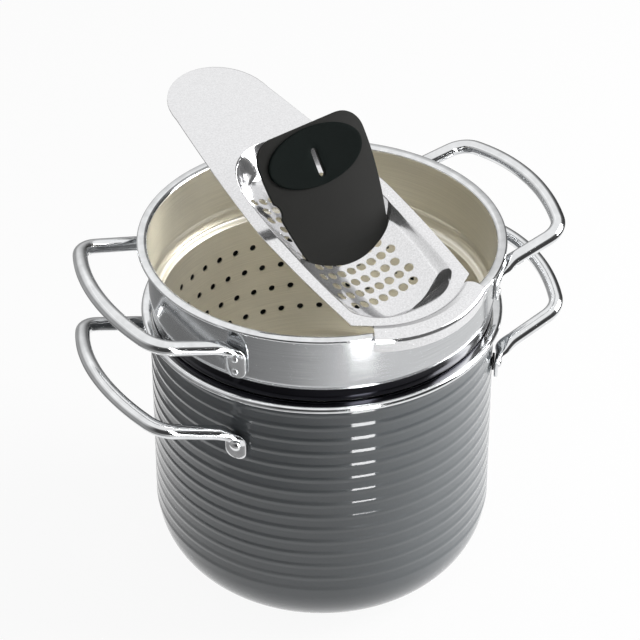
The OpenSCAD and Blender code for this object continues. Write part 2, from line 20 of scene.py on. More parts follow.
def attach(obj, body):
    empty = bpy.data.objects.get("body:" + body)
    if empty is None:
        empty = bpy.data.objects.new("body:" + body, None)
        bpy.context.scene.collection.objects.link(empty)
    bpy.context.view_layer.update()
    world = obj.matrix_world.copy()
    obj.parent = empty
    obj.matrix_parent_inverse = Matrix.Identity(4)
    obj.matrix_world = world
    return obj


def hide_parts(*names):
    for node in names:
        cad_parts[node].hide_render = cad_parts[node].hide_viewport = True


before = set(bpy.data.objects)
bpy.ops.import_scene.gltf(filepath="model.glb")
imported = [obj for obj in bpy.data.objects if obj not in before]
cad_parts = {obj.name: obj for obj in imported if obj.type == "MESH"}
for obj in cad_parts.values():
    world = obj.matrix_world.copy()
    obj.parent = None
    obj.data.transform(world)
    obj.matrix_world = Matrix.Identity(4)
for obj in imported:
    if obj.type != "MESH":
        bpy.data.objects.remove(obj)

MM = 0.001
TAU = 2 * math.pi
TURNS = 256
FOOT_ANGLE = 35.3
CORNERS = ("left_front", "left_back", "right_front", "right_back")
LOG = logging.getLogger("spaetzle_maker")
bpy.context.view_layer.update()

Material = bpy.types.Material
Object = bpy.types.Object
Tree = bpy.types.NodeTree
Outline = list[tuple[float, float]]
Colour = tuple[float, float, float]
Faces = list[list[int]]


class Brush(Enum):
    """How a steel surface was brushed or polished."""

    MIRROR = "mirror"
    ROUND = "round"
    FINE = "fine"


class Zone(Enum):
    """The zones of the insert's shell that are finished differently."""

    WALL = 0
    NECK = 1
    INSIDE = 2
    RIM = 3


# ---------------------------------------------------------------- node helpers


class Wire:
    """An output of a node, which the signs of arithmetic join to Math nodes."""

    def __init__(self, bench: "Bench", socket: bpy.types.NodeSocket) -> None:
        """Keep the output and the bench that its node stands on."""
        self.bench, self.socket = bench, socket

    def __add__(self, other: Any) -> "Wire":
        """The sum."""
        return self.bench.calc("ADD", self, other)

    def __sub__(self, other: Any) -> "Wire":
        """The difference."""
        return self.bench.calc("SUBTRACT", self, other)

    def __mul__(self, other: Any) -> "Wire":
        """The product."""
        return self.bench.calc("MULTIPLY", self, other)

    def __truediv__(self, other: Any) -> "Wire":
        """The quotient."""
        return self.bench.calc("DIVIDE", self, other)


class Bench:
    """Adds and joins the nodes of one tree."""

    def __init__(self, tree: Tree) -> None:
        """Keep the tree to work on."""
        self.tree = tree

    def add(self, kind: str, inputs: dict[Any, Any] | None = None, **settings: Any) -> bpy.types.Node:
        """Add a node, set its options and feed its inputs.

        Args:
            kind: Blender's name of the node type.
            inputs: What each input takes, by the input's name or number.
            **settings: Options of the node.

        Returns:
            The new node.
        """
        node = self.tree.nodes.new(kind)
        for name, value in settings.items():
            setattr(node, name, value)
        for key, value in (inputs or {}).items():
            self.feed(node.inputs[key], value)
        return node

    def feed(self, socket: bpy.types.NodeSocket, value: Any) -> None:
        """Give an input what it takes.

        Args:
            socket: The input.
            value: A wire or a node to join to it, or else its own value.
        """
        if isinstance(value, bpy.types.Node):
            value = Wire(self, value.outputs[0])
        if isinstance(value, Wire):
            self.tree.links.new(value.socket, socket)
        else:
            socket.default_value = value

    def out(self, kind: str, inputs: dict[Any, Any] | None = None, output: int | str = 0,
            **settings: Any) -> Wire:
        """Add a node as add does, and return the named one of its outputs."""
        return Wire(self, self.add(kind, inputs, **settings).outputs[output])

    def calc(self, operation: str, *values: Any) -> Wire:
        """Add a Math node of the given operation on wires or numbers."""
        return self.out("ShaderNodeMath", dict(enumerate(values)), operation=operation)

    def here(self) -> Wire:
        """The place on the piece, in object coordinates."""
        return self.out("ShaderNodeTexCoord", output="Object")

    def axes(self, place: Any) -> tuple[Wire, Wire, Wire]:
        """The x, y and z of a place."""
        parts = self.add("ShaderNodeSeparateXYZ", {0: place}).outputs
        return Wire(self, parts["X"]), Wire(self, parts["Y"]), Wire(self, parts["Z"])

    def vector(self, x: Any = 0.0, y: Any = 0.0, z: Any = 0.0) -> Wire:
        """The vector of an x, a y and a z."""
        return self.out("ShaderNodeCombineXYZ", {"X": x, "Y": y, "Z": z})

    def polar(self, turn: Wire, radius: Any, height: Any) -> Wire:
        """The place at a turn and a radius about the Z axis, and at a height."""
        return self.vector(self.calc("COSINE", turn) * radius, self.calc("SINE", turn) * radius, height)

    def away(self, x: Wire, y: Wire) -> Wire:
        """The distance from the Z axis."""
        return self.calc("SQRT", x * x + y * y)

    def noise(self, place: Wire, scale: float, detail: float) -> Wire:
        """A noise of the given scale and detail."""
        return self.out("ShaderNodeTexNoise", {"Vector": place, "Scale": scale, "Detail": detail}, "Fac")

    def ramp(self, factor: Wire, stops: Sequence[tuple[float, Colour]]) -> Wire:
        """Add a colour ramp.

        Args:
            factor: What drives the ramp.
            stops: Position and colour of each stop.

        Returns:
            The colour.
        """
        node = self.add("ShaderNodeValToRGB", {"Fac": factor})
        band = node.color_ramp
        while len(band.elements) > 1:
            band.elements.remove(band.elements[-1])
        band.elements[0].position = stops[0][0]
        band.elements[0].color = (*stops[0][1], 1)
        for place, colour in stops[1:]:
            band.elements.new(place).color = (*colour, 1)
        return Wire(self, node.outputs["Color"])


def linear(red: int, green: int, blue: int) -> Colour:
    """Turn a colour as seen on a screen, 0 to 255, into Blender's linear values."""
    parts = [c / 255 for c in (red, green, blue)]
    return tuple(c / 12.92 if c <= 0.04045 else ((c + 0.055) / 1.055) ** 2.4 for c in parts)


def blank(name: str) -> tuple[Material, Bench]:
    """Make a node material with no nodes.

    Args:
        name: Its name.

    Returns:
        The material and the bench of its tree.
    """
    material = bpy.data.materials.new(name)
    material.use_nodes = True
    material.node_tree.nodes.clear()
    return material, Bench(material.node_tree)


# ---------------------------------------------------------------- finishes


@dataclass(frozen=True)
class Finish:
    """A finish that makes its own node material.

    Args:
        name: Name of the material.
        colour: Main colour, linear.
        roughness: Roughness of the surface.
    """

    name: str
    colour: Colour
    roughness: float

    def start(self) -> tuple[Material, Bench, bpy.types.Node]:
        """Make an empty node material with its shader and output.

        Returns:
            The material, its bench and its shader.
        """
        material, bench = blank(self.name)
        shader = bench.add("ShaderNodeBsdfPrincipled")
        bench.add("ShaderNodeOutputMaterial", {"Surface": shader})
        return material, bench, shader

    def surface(self, bench: Bench, shader: bpy.types.Node, tone: Wire, tones: tuple[float, float],
                rough: Wire, change: float, relief: Wire, depth: float) -> None:
        """Join colour, roughness and relief to the shader.

        Args:
            bench: Bench of the material.
            shader: Its shader.
            tone: What the colour follows.
            tones: Factors on the colour where the tone is low and where it is high.
            rough: What the roughness follows.
            change: Share by which the roughness goes up and down.
            relief: What the height of the surface follows.
            depth: Height of the relief, in mm.
        """
        low, high = (tuple(min(c * factor, 1.0) for c in self.colour) for factor in tones)
        bench.feed(shader.inputs["Base Color"], bench.ramp(tone, [(0.3, low), (0.7, high)]))
        bench.feed(shader.inputs["Roughness"], bench.add("ShaderNodeMapRange", {
            "Value": rough, "To Min": self.roughness * (1 - change),
            "To Max": self.roughness * (1 + change)}))
        bench.feed(shader.inputs["Normal"], bench.add("ShaderNodeBump", {
            "Height": relief, "Distance": depth * MM, "Strength": 1.0}))


@dataclass(frozen=True)
class Steel(Finish):
    """Stainless steel, polished or brushed.

    Args:
        brush: How it was worked.
        depth: Depth of the brush marks, in mm.
        spread: How far the brush marks spread a highlight across them.
        metal: Share of bare metal, where the rest scatters light.
    """

    brush: Brush = Brush.MIRROR
    depth: float = 0.002
    spread: float = 0.0
    metal: float = 1.0

    def grain(self, bench: Bench) -> Wire:
        """Return the place that the grain noise reads, stretched along the brush marks.

        Args:
            bench: Bench of the material.

        Returns:
            The place.
        """
        here = bench.here()
        if self.brush is not Brush.ROUND:
            scale = 900 if self.brush is Brush.FINE else 120
            return bench.out("ShaderNodeMapping", {"Vector": here, "Scale": (scale,) * 3})
        x, y, z = bench.axes(here)
        angle, along, across = bench.calc("ARCTAN2", y, x), 3.0, 2600.0
        return bench.vector(bench.calc("COSINE", angle) * along,
                            z * across + bench.calc("SINE", angle) * along, bench.away(x, y) * across)

    def build(self) -> Material:
        """Make the material.

        Returns:
            The material.
        """
        material, bench, shader = self.start()
        shader.inputs["Metallic"].default_value = self.metal
        grain = bench.noise(self.grain(bench), 1.0, 3.0)
        self.surface(bench, shader, grain, (0.9, 1.05), grain, 0.25, grain, self.depth)
        if self.spread:
            shader.inputs["Anisotropic"].default_value = self.spread
            bench.feed(shader.inputs["Tangent"],
                       bench.add("ShaderNodeTangent", direction_type="RADIAL", axis="Z"))
        return material


@dataclass(frozen=True)
class Enamel(Finish):
    """Satin enamel with a faint orange peel and a slow change of tone."""

    def build(self) -> Material:
        """Make the material.

        Returns:
            The material.
        """
        material, bench, shader = self.start()
        here = bench.here()
        slow, specks = bench.noise(here, 9.0, 2.0), bench.noise(here, 1400.0, 2.0)
        self.surface(bench, shader, slow * 0.6 + specks * 0.4, (0.9, 1.1), specks, 0.15,
                     bench.noise(here, 420.0, 1.0), 0.015)
        shader.inputs["Specular IOR Level"].default_value = 0.12
        shader.inputs["Coat Weight"].default_value = 1.0
        shader.inputs["Coat Roughness"].default_value = 0.06
        return material


@dataclass(frozen=True)
class Plastic(Finish):
    """Moulded plastic with a fine spark-eroded grain.

    Args:
        grain: Height of the grain, in mm.
        gloss: Strength of the mirror part.
    """

    grain: float = 0.02
    gloss: float = 0.2

    def build(self) -> Material:
        """Make the material.

        Returns:
            The material.
        """
        material, bench, shader = self.start()
        here = bench.here()
        fine, slow = bench.noise(here, 1900.0, 2.0), bench.noise(here, 22.0, 2.0)
        self.surface(bench, shader, slow * 0.7 + fine * 0.3, (0.82, 1.2), slow, 0.08, fine, self.grain)
        shader.inputs["Specular IOR Level"].default_value = self.gloss
        return material


@dataclass(frozen=True)
class Finishes:
    """Every finish of the set, made once."""

    enamel: Material
    polished: Material
    tube: Material
    wall: Material
    # The neck's finish is a painted dark reflection.
    neck: Material
    # The inside's finish is a painted warm reflection with painted brightness.
    inside: Material
    chute: Material
    blade: Material
    grip: Material
    spacer: Material

    @staticmethod
    def make() -> "Finishes":
        """Make all the materials.

        Returns:
            The finishes.
        """
        bright: Colour = (0.80, 0.81, 0.82)
        return Finishes(
            enamel=Enamel("enamel_satin_grey", linear(94, 98, 101), 0.34).build(),
            polished=Steel("steel_polished", bright, 0.09, depth=0.0006).build(),
            tube=Steel("steel_tube", bright, 0.10, depth=0.0006).build(),
            wall=Steel("steel_wall", (0.56, 0.57, 0.58), 0.14, Brush.ROUND, 0.0012, 0.3).build(),
            # Painted reflection: the neck is polished steel, and its near-black colour paints the dark
            # surroundings that it would mirror.
            neck=Steel("steel_neck_dark", (0.012, 0.012, 0.015), 0.12, Brush.ROUND, 0.001, 0.5).build(),
            # Painted light: the inside's warm, raised colour and its scattering share paint a warm
            # reflection of dough and extra brightness, not the steel's own tone.
            inside=Steel("steel_inside", (0.92, 0.89, 0.80), 0.32, Brush.ROUND, 0.0008, 0.3, 0.8).build(),
            chute=Steel("steel_chute", (0.83, 0.83, 0.84), 0.09, Brush.FINE, 0.00003, metal=0.9).build(),
            blade=Plastic("plastic_blade", (0.0125, 0.0125, 0.0115), 0.62, 0.012, 0.12).build(),
            grip=Plastic("plastic_grip", (0.0045, 0.0068, 0.0062), 0.72, 0.03, 0.05).build(),
            spacer=Plastic("plastic_spacer", linear(27, 28, 29), 0.6).build())


# ---------------------------------------------------------------- mesh helpers


def arc(cr: float, cz: float, r: float, a0: float, a1: float, n: int) -> Outline:
    """Points of an arc.

    Args:
        cr: Middle of the arc, across.
        cz: Middle of the arc, up.
        r: Radius.
        a0: Angle of the first point, in degrees.
        a1: Angle of the last point, in degrees.
        n: Number of steps.

    Returns:
        The points, first and last included.
    """
    return [(cr + r * math.cos(a), cz + r * math.sin(a)) for a in np.radians(np.linspace(a0, a1, n + 1))]


def eased(outline: Outline, radius: float, steps: int = 5) -> Outline:
    """Round the corners of an open outline.

    Args:
        outline: The points.
        radius: How far from a corner the rounding starts.
        steps: Steps in each rounding.

    Returns:
        The rounded outline, with the same end points.
    """
    points = [np.array(p, float) for p in outline]
    out = [tuple(points[0])]
    for before, corner, after in zip(points, points[1:], points[2:]):
        reach_in = min(radius, np.linalg.norm(before - corner) / 2.01)
        reach_out = min(radius, np.linalg.norm(after - corner) / 2.01)
        start = corner + (before - corner) / np.linalg.norm(before - corner) * reach_in
        end = corner + (after - corner) / np.linalg.norm(after - corner) * reach_out
        for t in np.linspace(0, 1, steps + 1):
            out.append(tuple(start * (1 - t) ** 2 + corner * 2 * t * (1 - t) + end * t * t))
    out.append(tuple(points[-1]))
    return out


def filled(outline: Outline, longest: float) -> Outline:
    """Add points to an outline where its steps are long.

    Args:
        outline: The points.
        longest: Length that no step may pass.

    Returns:
        The outline with the points added.
    """
    out = [outline[0]]
    for a, b in zip(outline, outline[1:]):
        n = max(1, math.ceil(math.dist(a, b) / longest))
        out += [(a[0] + (b[0] - a[0]) * i / n, a[1] + (b[1] - a[1]) * i / n) for i in range(1, n + 1)]
    return out


def mirrored(right: Outline) -> Outline:
    """Close an outline's right half, which starts on the middle line, with its mirror image."""
    return right + [(-x, s) for x, s in reversed(right) if x > 0.001]


def reach_to(outline: np.ndarray, start: np.ndarray, way: np.ndarray) -> float:
    """Measure how far a closed outline reaches.

    Args:
        outline: Its points.
        start: Where the measure starts.
        way: Unit vector of its direction.

    Returns:
        The distance to the farthest crossing.
    """
    a, b = outline, np.roll(outline, -1, axis=0)
    edge = b - a
    cross = way[0] * edge[:, 1] - way[1] * edge[:, 0]
    gap = a - start
    with np.errstate(divide="ignore", invalid="ignore"):
        t = (gap[:, 0] * edge[:, 1] - gap[:, 1] * edge[:, 0]) / cross
        u = (gap[:, 0] * way[1] - gap[:, 1] * way[0]) / cross
    good = (np.abs(cross) > 1e-9) & (u >= -1e-6) & (u <= 1 + 1e-6) & (t > 0)
    return float(t[good].max())


def woven(rows: int, wide: int, closed: bool = True, joined: bool = False) -> Faces:
    """Faces between rows of points, numbered one row after another.

    Args:
        rows: Number of rows.
        wide: Points in a row.
        closed: Whether a row's last point joins its first.
        joined: Whether the last row joins the first.

    Returns:
        The faces.
    """
    faces = []
    for i in range(rows if joined else rows - 1):
        low, high = i * wide, (i + 1) % rows * wide
        for j in range(wide if closed else wide - 1):
            k = (j + 1) % wide
            faces.append([low + j, low + k, high + k, high + j])
    return faces


def placed(name: str, data: bpy.types.ID) -> Object:
    """Stand an object with the given data in the scene, at the origin.

    Args:
        name: Name of the object.
        data: Its mesh, light or camera.

    Returns:
        The object.
    """
    thing = bpy.data.objects.new(name, data)
    bpy.context.scene.collection.objects.link(thing)
    return thing


def plain(name: str, points: Sequence[Sequence[float]], faces: Sequence[Sequence[int]]) -> Object:
    """Make an object of a mesh just as given, in metres.

    Args:
        name: Name of the object.
        points: Corner points.
        faces: Faces as lists of point numbers.

    Returns:
        The object.
    """
    mesh = bpy.data.meshes.new(name)
    mesh.from_pydata(points, [], faces)
    return placed(name, mesh)


def make_piece(name: str, points: np.ndarray, faces: Faces,
               sharp: float = 35.0, place: Matrix | None = None) -> Object:
    """Make a mesh object from points in millimetres.

    Args:
        name: Name of the piece.
        points: Corner points.
        faces: Faces as lists of point numbers.
        sharp: Edges sharper than this many degrees are shaded as edges.
        place: Where the points' own frame lies in the part's frame.

    Returns:
        The new object, at the origin.
    """
    piece = plain(name, [tuple(p) for p in np.asarray(points, float) * MM], faces)
    work = bmesh.new()
    work.from_mesh(piece.data)
    bmesh.ops.remove_doubles(work, verts=work.verts, dist=1e-7)
    bmesh.ops.recalc_face_normals(work, faces=work.faces)
    work.to_mesh(piece.data)
    work.free()
    if place is not None:
        piece.data.transform(place)
    shade(piece.data, sharp)
    return piece


def shade(mesh: bpy.types.Mesh, sharp: float) -> None:
    """Shade a mesh smooth.

    Args:
        mesh: The mesh.
        sharp: Edges sharper than this many degrees are kept.
    """
    mesh.polygons.foreach_set("use_smooth", np.ones(len(mesh.polygons), bool))
    mesh.set_sharp_from_angle(angle=math.radians(sharp))
    mesh.update()


def turned(outline: Outline, turns: int = TURNS) -> tuple[np.ndarray, Faces]:
    """Turn a closed outline round the Z axis.

    Args:
        outline: Radius and height of each point; a radius of 0 is a pole.
        turns: Number of steps round the axis.

    Returns:
        Points in millimetres and faces.
    """
    angles = np.linspace(0, TAU, turns, endpoint=False)
    rows: list[list[int]] = []
    points: list[tuple[float, float, float]] = []
    for r, z in outline:
        if r < 1e-6:
            rows.append([len(points)] * turns)
            points.append((0.0, 0.0, z))
            continue
        rows.append(list(range(len(points), len(points) + turns)))
        points += [(r * math.cos(a), r * math.sin(a), z) for a in angles]
    faces: Faces = []
    closed = outline[0][0] > 1e-6
    for low, high in list(zip(rows, rows[1:])) + ([(rows[-1], rows[0])] if closed else []):
        for i in range(turns):
            k = (i + 1) % turns
            ring = list(dict.fromkeys([low[i], low[k], high[k], high[i]]))
            if len(ring) > 2:
                faces.append(ring)
    return np.array(points), faces


def bevelled(piece: Object, width: float, segments: int, sharper: float) -> None:
    """Round a piece's edges with a Bevel modifier.

    Args:
        piece: The piece.
        width: Width of the rounding, in mm.
        segments: Steps in it.
        sharper: Edges sharper than this many degrees are rounded.
    """
    edge = piece.modifiers.new("edge", "BEVEL")
    edge.width, edge.segments = width * MM, segments
    edge.limit_method, edge.angle_limit = "ANGLE", math.radians(sharper)


def baked(piece: Object) -> Object:
    """Turn a piece with its modifiers into one plain mesh and remove them.

    Args:
        piece: The piece.

    Returns:
        The same piece.
    """
    graph = bpy.context.evaluated_depsgraph_get()
    mesh = bpy.data.meshes.new_from_object(piece.evaluated_get(graph), depsgraph=graph)
    mesh.name = piece.name
    piece.modifiers.clear()
    old = piece.data
    piece.data = mesh
    bpy.data.meshes.remove(old)
    return piece


def grown(piece: Object, tree: Tree, **sizes: float) -> Object:
    """Run a geometry tree on a piece and keep the result as its plain mesh.

    Args:
        piece: The piece that the tree starts from.
        tree: The tree.
        **sizes: Value of each named input, with _ for a space.

    Returns:
        The same piece.
    """
    modifier = piece.modifiers.new(tree.name, "NODES")
    modifier.node_group = tree
    for item in tree.interface.items_tree:
        key = item.name.replace(" ", "_").lower()
        if item.item_type == "SOCKET" and item.in_out == "INPUT" and key in sizes:
            modifier[item.identifier] = sizes[key]
    piece.data.update()
    return baked(piece)


def new_tree(name: str, sizes: dict[str, float | int]) -> tuple[Tree, Bench, dict[str, Wire]]:
    """Start a geometry tree with named inputs.

    Args:
        name: Name of the tree.
        sizes: Name and usual value of each input, a whole number for a count.

    Returns:
        The tree, its bench and its inputs by name.
    """
    tree = bpy.data.node_groups.new(name, "GeometryNodeTree")
    for way in ("INPUT", "OUTPUT"):
        tree.interface.new_socket("Geometry", in_out=way, socket_type="NodeSocketGeometry")
    for label, value in sizes.items():
        kind = "NodeSocketInt" if isinstance(value, int) else "NodeSocketFloat"
        tree.interface.new_socket(label, in_out="INPUT", socket_type=kind).default_value = value
    bench = Bench(tree)
    return tree, bench, {socket.name: Wire(bench, socket) for socket in bench.add("NodeGroupInput").outputs}


def finish_tree(bench: Bench, geometry: Any, material: Material) -> None:
    """End a tree in Realize Instances and Set Material.

    Args:
        bench: Bench of the tree.
        geometry: What the tree has made.
        material: Material that it gets.
    """
    real = bench.add("GeometryNodeRealizeInstances", {"Geometry": geometry})
    dressed = bench.add("GeometryNodeSetMaterial", {"Geometry": real, "Material": material})
    bench.add("NodeGroupOutput", {0: dressed})


def drilled(bench: Bench, given: dict[str, Wire], count: Wire, spot: Wire, lean: Wire | None,
            finish: Material) -> None:
    """End a tree by drilling a hole at each of a number of points.

    Args:
        bench: Bench of the tree.
        given: Its inputs by name.
        count: Number of holes.
        spot: Place of each hole.
        lean: Turn of each drill as angles, or None for upright.
        finish: Material of the drilled mesh.
    """
    drill = bench.add("GeometryNodeMeshCylinder", {
        "Vertices": 20, "Radius": given["Hole diameter"] * 0.5, "Depth": 0.006})
    inputs: dict[Any, Any] = {"Points": bench.add("GeometryNodePoints", {"Count": count, "Position": spot}),
                              "Instance": drill}
    if lean is not None:
        inputs["Rotation"] = bench.add("FunctionNodeEulerToRotation", {0: lean})
    drills = bench.add("GeometryNodeRealizeInstances", {
        "Geometry": bench.add("GeometryNodeInstanceOnPoints", inputs)})
    finish_tree(bench, bench.out("GeometryNodeMeshBoolean", {0: given["Geometry"], 1: drills}, "Mesh",
                                 operation="DIFFERENCE", solver="EXACT"), finish)


def dress(piece: Object, body: str, slot: str, *nodes: str) -> Object:
    """Put a finished piece on its body, in place of the nodes it stands for.

    Args:
        piece: The piece.
        body: Body that it moves with.
        slot: Its material slot; not used.
        *nodes: CAD nodes that it stands for.

    Returns:
        The same piece.
    """
    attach(piece, body)
    if nodes:
        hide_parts(*nodes)
    LOG.info("%s: %d faces on %s", piece.name, len(piece.data.polygons), body)
    return piece


def paint(node: str, finish: Material) -> None:
    """Give a CAD node that stays in view its material.

    Args:
        node: Name of the node.
        finish: The material.
    """
    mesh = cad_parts[node].data
    mesh.materials.clear()
    mesh.materials.append(finish)
    LOG.info("%s: painted with %s", node, finish.name)


# ---------------------------------------------------------------- handles


@dataclass
class BentHandle:
    """A handle of bent tube whose ends are flattened and turned down into feet.

    Args:
        name: Name of the piece, without its side.
        foot_r: Radius of a foot's inner face.
        line_z: Height at which the tube's line meets the foot.
        out: How far the bow stands out.
        bow: How far the bow curves outwards.
        bend_r: Radius of the bends.
        slope: Upward slope, in degrees.
        drop: How far a foot reaches below the line.
        leg_in: How far the legs lean in, in degrees.
        foot_round: Radius of a foot's lower corners.
        leg_start: How far out of the foot the round tube starts.
        plate_top: How far below the line the flat plate ends.
        pull: How far the bend from plate to tube follows each of them.
        sides: Corners of the tube's section.
    """

    name: str
    foot_r: float
    line_z: float
    out: float
    bow: float
    bend_r: float
    slope: float
    drop: float
    tube_d: float = 10.0
    leg_in: float = 3.7
    foot_w: float = 15.5
    foot_round: float = 5.5
    foot_t: float = 2.8
    leg_start: float = 16.0
    plate_top: float = 8.5
    pull: tuple[float, float] = (8.0, 8.5)
    sides: int = 28

    def tube_line(self) -> list[Vector]:
        """Lay out the middle line of the round tube.

        Returns:
            Its points, from the leg at +Y to the middle of the bow.
        """
        fa, li, sl = (math.radians(a) for a in (FOOT_ANGLE, self.leg_in, self.slope))
        foot_x, foot_y = self.foot_r * math.cos(fa), self.foot_r * math.sin(fa)
        reach, run = (self.out - foot_x) / math.cos(sl), self.bow / math.cos(sl)
        half = foot_y - reach * math.tan(li)
        bow_r = (half * half + run * run) / (2 * run)
        k, off, bow_x = math.tan(li), foot_y - self.bend_r / math.cos(li), reach - bow_r
        qa, qb = 1 + k * k, -2 * (bow_x + k * off)
        qc = bow_x ** 2 + off ** 2 - (bow_r - self.bend_r) ** 2
        bx = (-qb + math.sqrt(qb * qb - 4 * qa * qc)) / (2 * qa)
        by = off - k * bx
        bow_a = math.atan2(by, bx - bow_x)
        leg_end = bx + self.bend_r * math.sin(li)
        flat = [(x, foot_y - x * k) for x in np.linspace(self.leg_start, leg_end, 9)[:-1]]
        flat += [(bx + self.bend_r * math.cos(a), by + self.bend_r * math.sin(a))
                 for a in np.linspace(math.pi / 2 - li, bow_a, 15)[:-1]]
        flat += [(bow_x + bow_r * math.cos(a), bow_r * math.sin(a)) for a in np.linspace(bow_a, 0, 17)]
        return [Vector((foot_x + x * math.cos(sl), y, self.line_z + x * math.sin(sl))) for x, y in flat]

    def half_path(self) -> list[tuple[Vector, float]]:
        """Lay out the middle line from the tip of the foot at +Y to the middle of the bow.

        Returns:
            Its points, each with how flat the section is there, 1 to 0.
        """
        fa = math.radians(FOOT_ANGLE)
        plate = Vector((math.cos(fa), math.sin(fa), 0)) * (self.foot_r + self.foot_t / 2)
        tube = self.tube_line()
        leg = (tube[1] - tube[0]).normalized()
        low, high = self.line_z - self.drop, self.line_z - self.plate_top
        heights = [low + self.foot_round * (1 - math.cos(a)) for a in np.linspace(0, math.pi / 2, 8)]
        heights += list(np.linspace(low + self.foot_round, high, 4)[1:])
        path = [(plate + Vector((0, 0, z)), 1.0) for z in heights]
        p0, p3 = path[-1][0], tube[0]
        p1, p2 = p0 + Vector((0, 0, self.pull[0])), p3 - leg * self.pull[1]
        for t in np.linspace(0, 1, 19)[1:-1]:
            point = p0 * (1 - t) ** 3 + p1 * 3 * t * (1 - t) ** 2 + p2 * 3 * t * t * (1 - t) + p3 * t ** 3
            ease = min(1.0, max(0.0, (t - 0.12) / 0.88))
            path.append((point, 1 - ease * ease * (3 - 2 * ease)))
        return path + [(p, 0.0) for p in tube]

    def build(self, side: int, body: str, node: str, finish: Material) -> None:
        """Sweep the tube and dress it.

        Args:
            side: 1 for the handle at +X, -1 for the one at -X.
            body: Body that it moves with.
            node: CAD node that it stands for.
            finish: Its material.
        """
        half = self.half_path()
        path = half + [(Vector((p.x, -p.y, p.z)), f) for p, f in reversed(half[:-1])]
        fa, sl = math.radians(FOOT_ANGLE), math.radians(self.slope)
        up = Vector((-math.sin(sl), 0, math.cos(sl)))
        points: list[Vector] = []
        tip = self.foot_round
        for i, (middle, flat) in enumerate(path):
            along = (path[min(i + 1, len(path) - 1)][0] - path[max(i - 1, 0)][0]).normalized()
            sign = 1 if i < len(half) else -1
            foot_dir = Vector((-math.sin(fa), sign * math.cos(fa), 0))
            width = foot_dir.lerp(up.cross(along), 1 - flat)
            width = (width - along * width.dot(along)).normalized()
            depth = along.cross(width)
            a = self.tube_d / 2 * (1 - flat) + self.foot_w / 2 * flat
            b = self.tube_d / 2 * (1 - flat) + self.foot_t / 2 * flat
            power = 2 / (2 + 3 * flat)
            low = middle.z - (self.line_z - self.drop)
            if flat == 1 and low < tip:
                a += math.sqrt(max(tip * tip - (tip - low) ** 2, 0.01)) - tip
            for t in np.linspace(0, TAU, self.sides, endpoint=False):
                c, s = math.cos(t), math.sin(t)
                points.append(middle + width * (a * math.copysign(abs(c) ** power, c))
                              + depth * (b * math.copysign(abs(s) ** power, s)))
        faces = woven(len(path), self.sides)
        faces += [list(range(self.sides)), list(range(len(points) - self.sides, len(points)))]
        label = f"{self.name}_{'right' if side > 0 else 'left'}_tube"
        piece = make_piece(label, np.array([tuple(p) for p in points]), faces, 50.0,
                           Matrix.Diagonal((side, 1, 1, 1)))
        if side < 0:
            piece.data.flip_normals()
        piece.data.materials.append(finish)
        dress(piece, body, "steel", node)

    def pair(self, body: str, finish: Material) -> None:
        """Build the handles of both sides.

        Args:
            body: Body that they move with.
            finish: Their material.
        """
        self.build(1, body, f"{self.name}_right", finish)
        self.build(-1, body, f"{self.name}_left", finish)


@dataclass
class FootStuds:
    """The heads of the rivets or welds that hold the feet of two handles.

    Args:
        name: Name of the piece.
        face_r: Radius at which the outer heads start.
        heights: Height of each stud.
        head_d: Diameter of a head.
        head_h: How far a head stands out.
        back_r: Radius at which an inner head starts, or 0 for none.
        back_d: Diameter of an inner head.
        back_h: How far an inner head stands in.
    """

    name: str
    face_r: float
    heights: Sequence[float]
    head_d: float
    head_h: float
    back_r: float = 0.0
    back_d: float = 0.0
    back_h: float = 0.0

    def seeds(self) -> Object:
        """Make the mesh of points on which the heads stand.

        Returns:
            The mesh object, with one point for each stud.
        """
        turns = [start + side * math.radians(FOOT_ANGLE)
                 for start, side in ((0, 1), (math.pi, -1), (math.pi, 1), (TAU, -1))]
        return plain(self.name, [(math.cos(a) * MM, math.sin(a) * MM, z * MM)
                                 for a in turns for z in self.heights], [])

    def tree(self, finish: Material) -> Tree:
        """Build the tree that stands a domed head on each point, facing outwards.

        Args:
            finish: Material of the heads.

        Returns:
            The tree.
        """
        tree, bench, given = new_tree(self.name + "_heads", {
            "Face radius": 0.12, "Face diameter": 0.008, "Face height": 0.002,
            "Back radius": 0.0, "Back diameter": 0.0, "Back height": 0.0})
        x, y, z = bench.axes(bench.add("GeometryNodeInputPosition"))
        turn = bench.calc("ARCTAN2", y, x)
        spin = bench.out("FunctionNodeEulerToRotation", {0: bench.vector(0.0, math.pi / 2, turn)})
        joined = bench.add("GeometryNodeJoinGeometry")
        for end in ("Face", "Back"):
            ball = bench.add("GeometryNodeMeshUVSphere", {"Segments": 28, "Rings": 18, "Radius": 1.0})
            wide, reach = given[f"{end} diameter"] * 0.5, given[f"{end} radius"]
            moved = bench.add("GeometryNodeSetPosition", {
                "Geometry": given["Geometry"], "Position": bench.polar(turn, reach, z)})
            bench.feed(joined.inputs[0], bench.add("GeometryNodeInstanceOnPoints", {
                "Points": moved, "Instance": ball, "Rotation": spin,
                "Scale": bench.vector(wide, wide, given[f"{end} height"]),
                "Selection": bench.calc("GREATER_THAN", reach, 0.001)}))
        finish_tree(bench, joined, finish)
        return tree

    def build(self, body: str, nodes: str, finish: Material) -> None:
        """Make the heads and dress them.

        Args:
            body: Body that they move with.
            nodes: Name of the CAD nodes that they stand for, without its corner.
            finish: Their material.
        """
        piece = grown(self.seeds(), self.tree(finish), face_radius=self.face_r * MM,
                      face_diameter=self.head_d * MM, face_height=self.head_h * MM,
                      back_radius=self.back_r * MM, back_diameter=self.back_d * MM,
                      back_height=self.back_h * MM)
        shade(piece.data, 60)
        dress(piece, body, "steel", *[f"{nodes}_{c}" for c in CORNERS])


# ---------------------------------------------------------------- pot


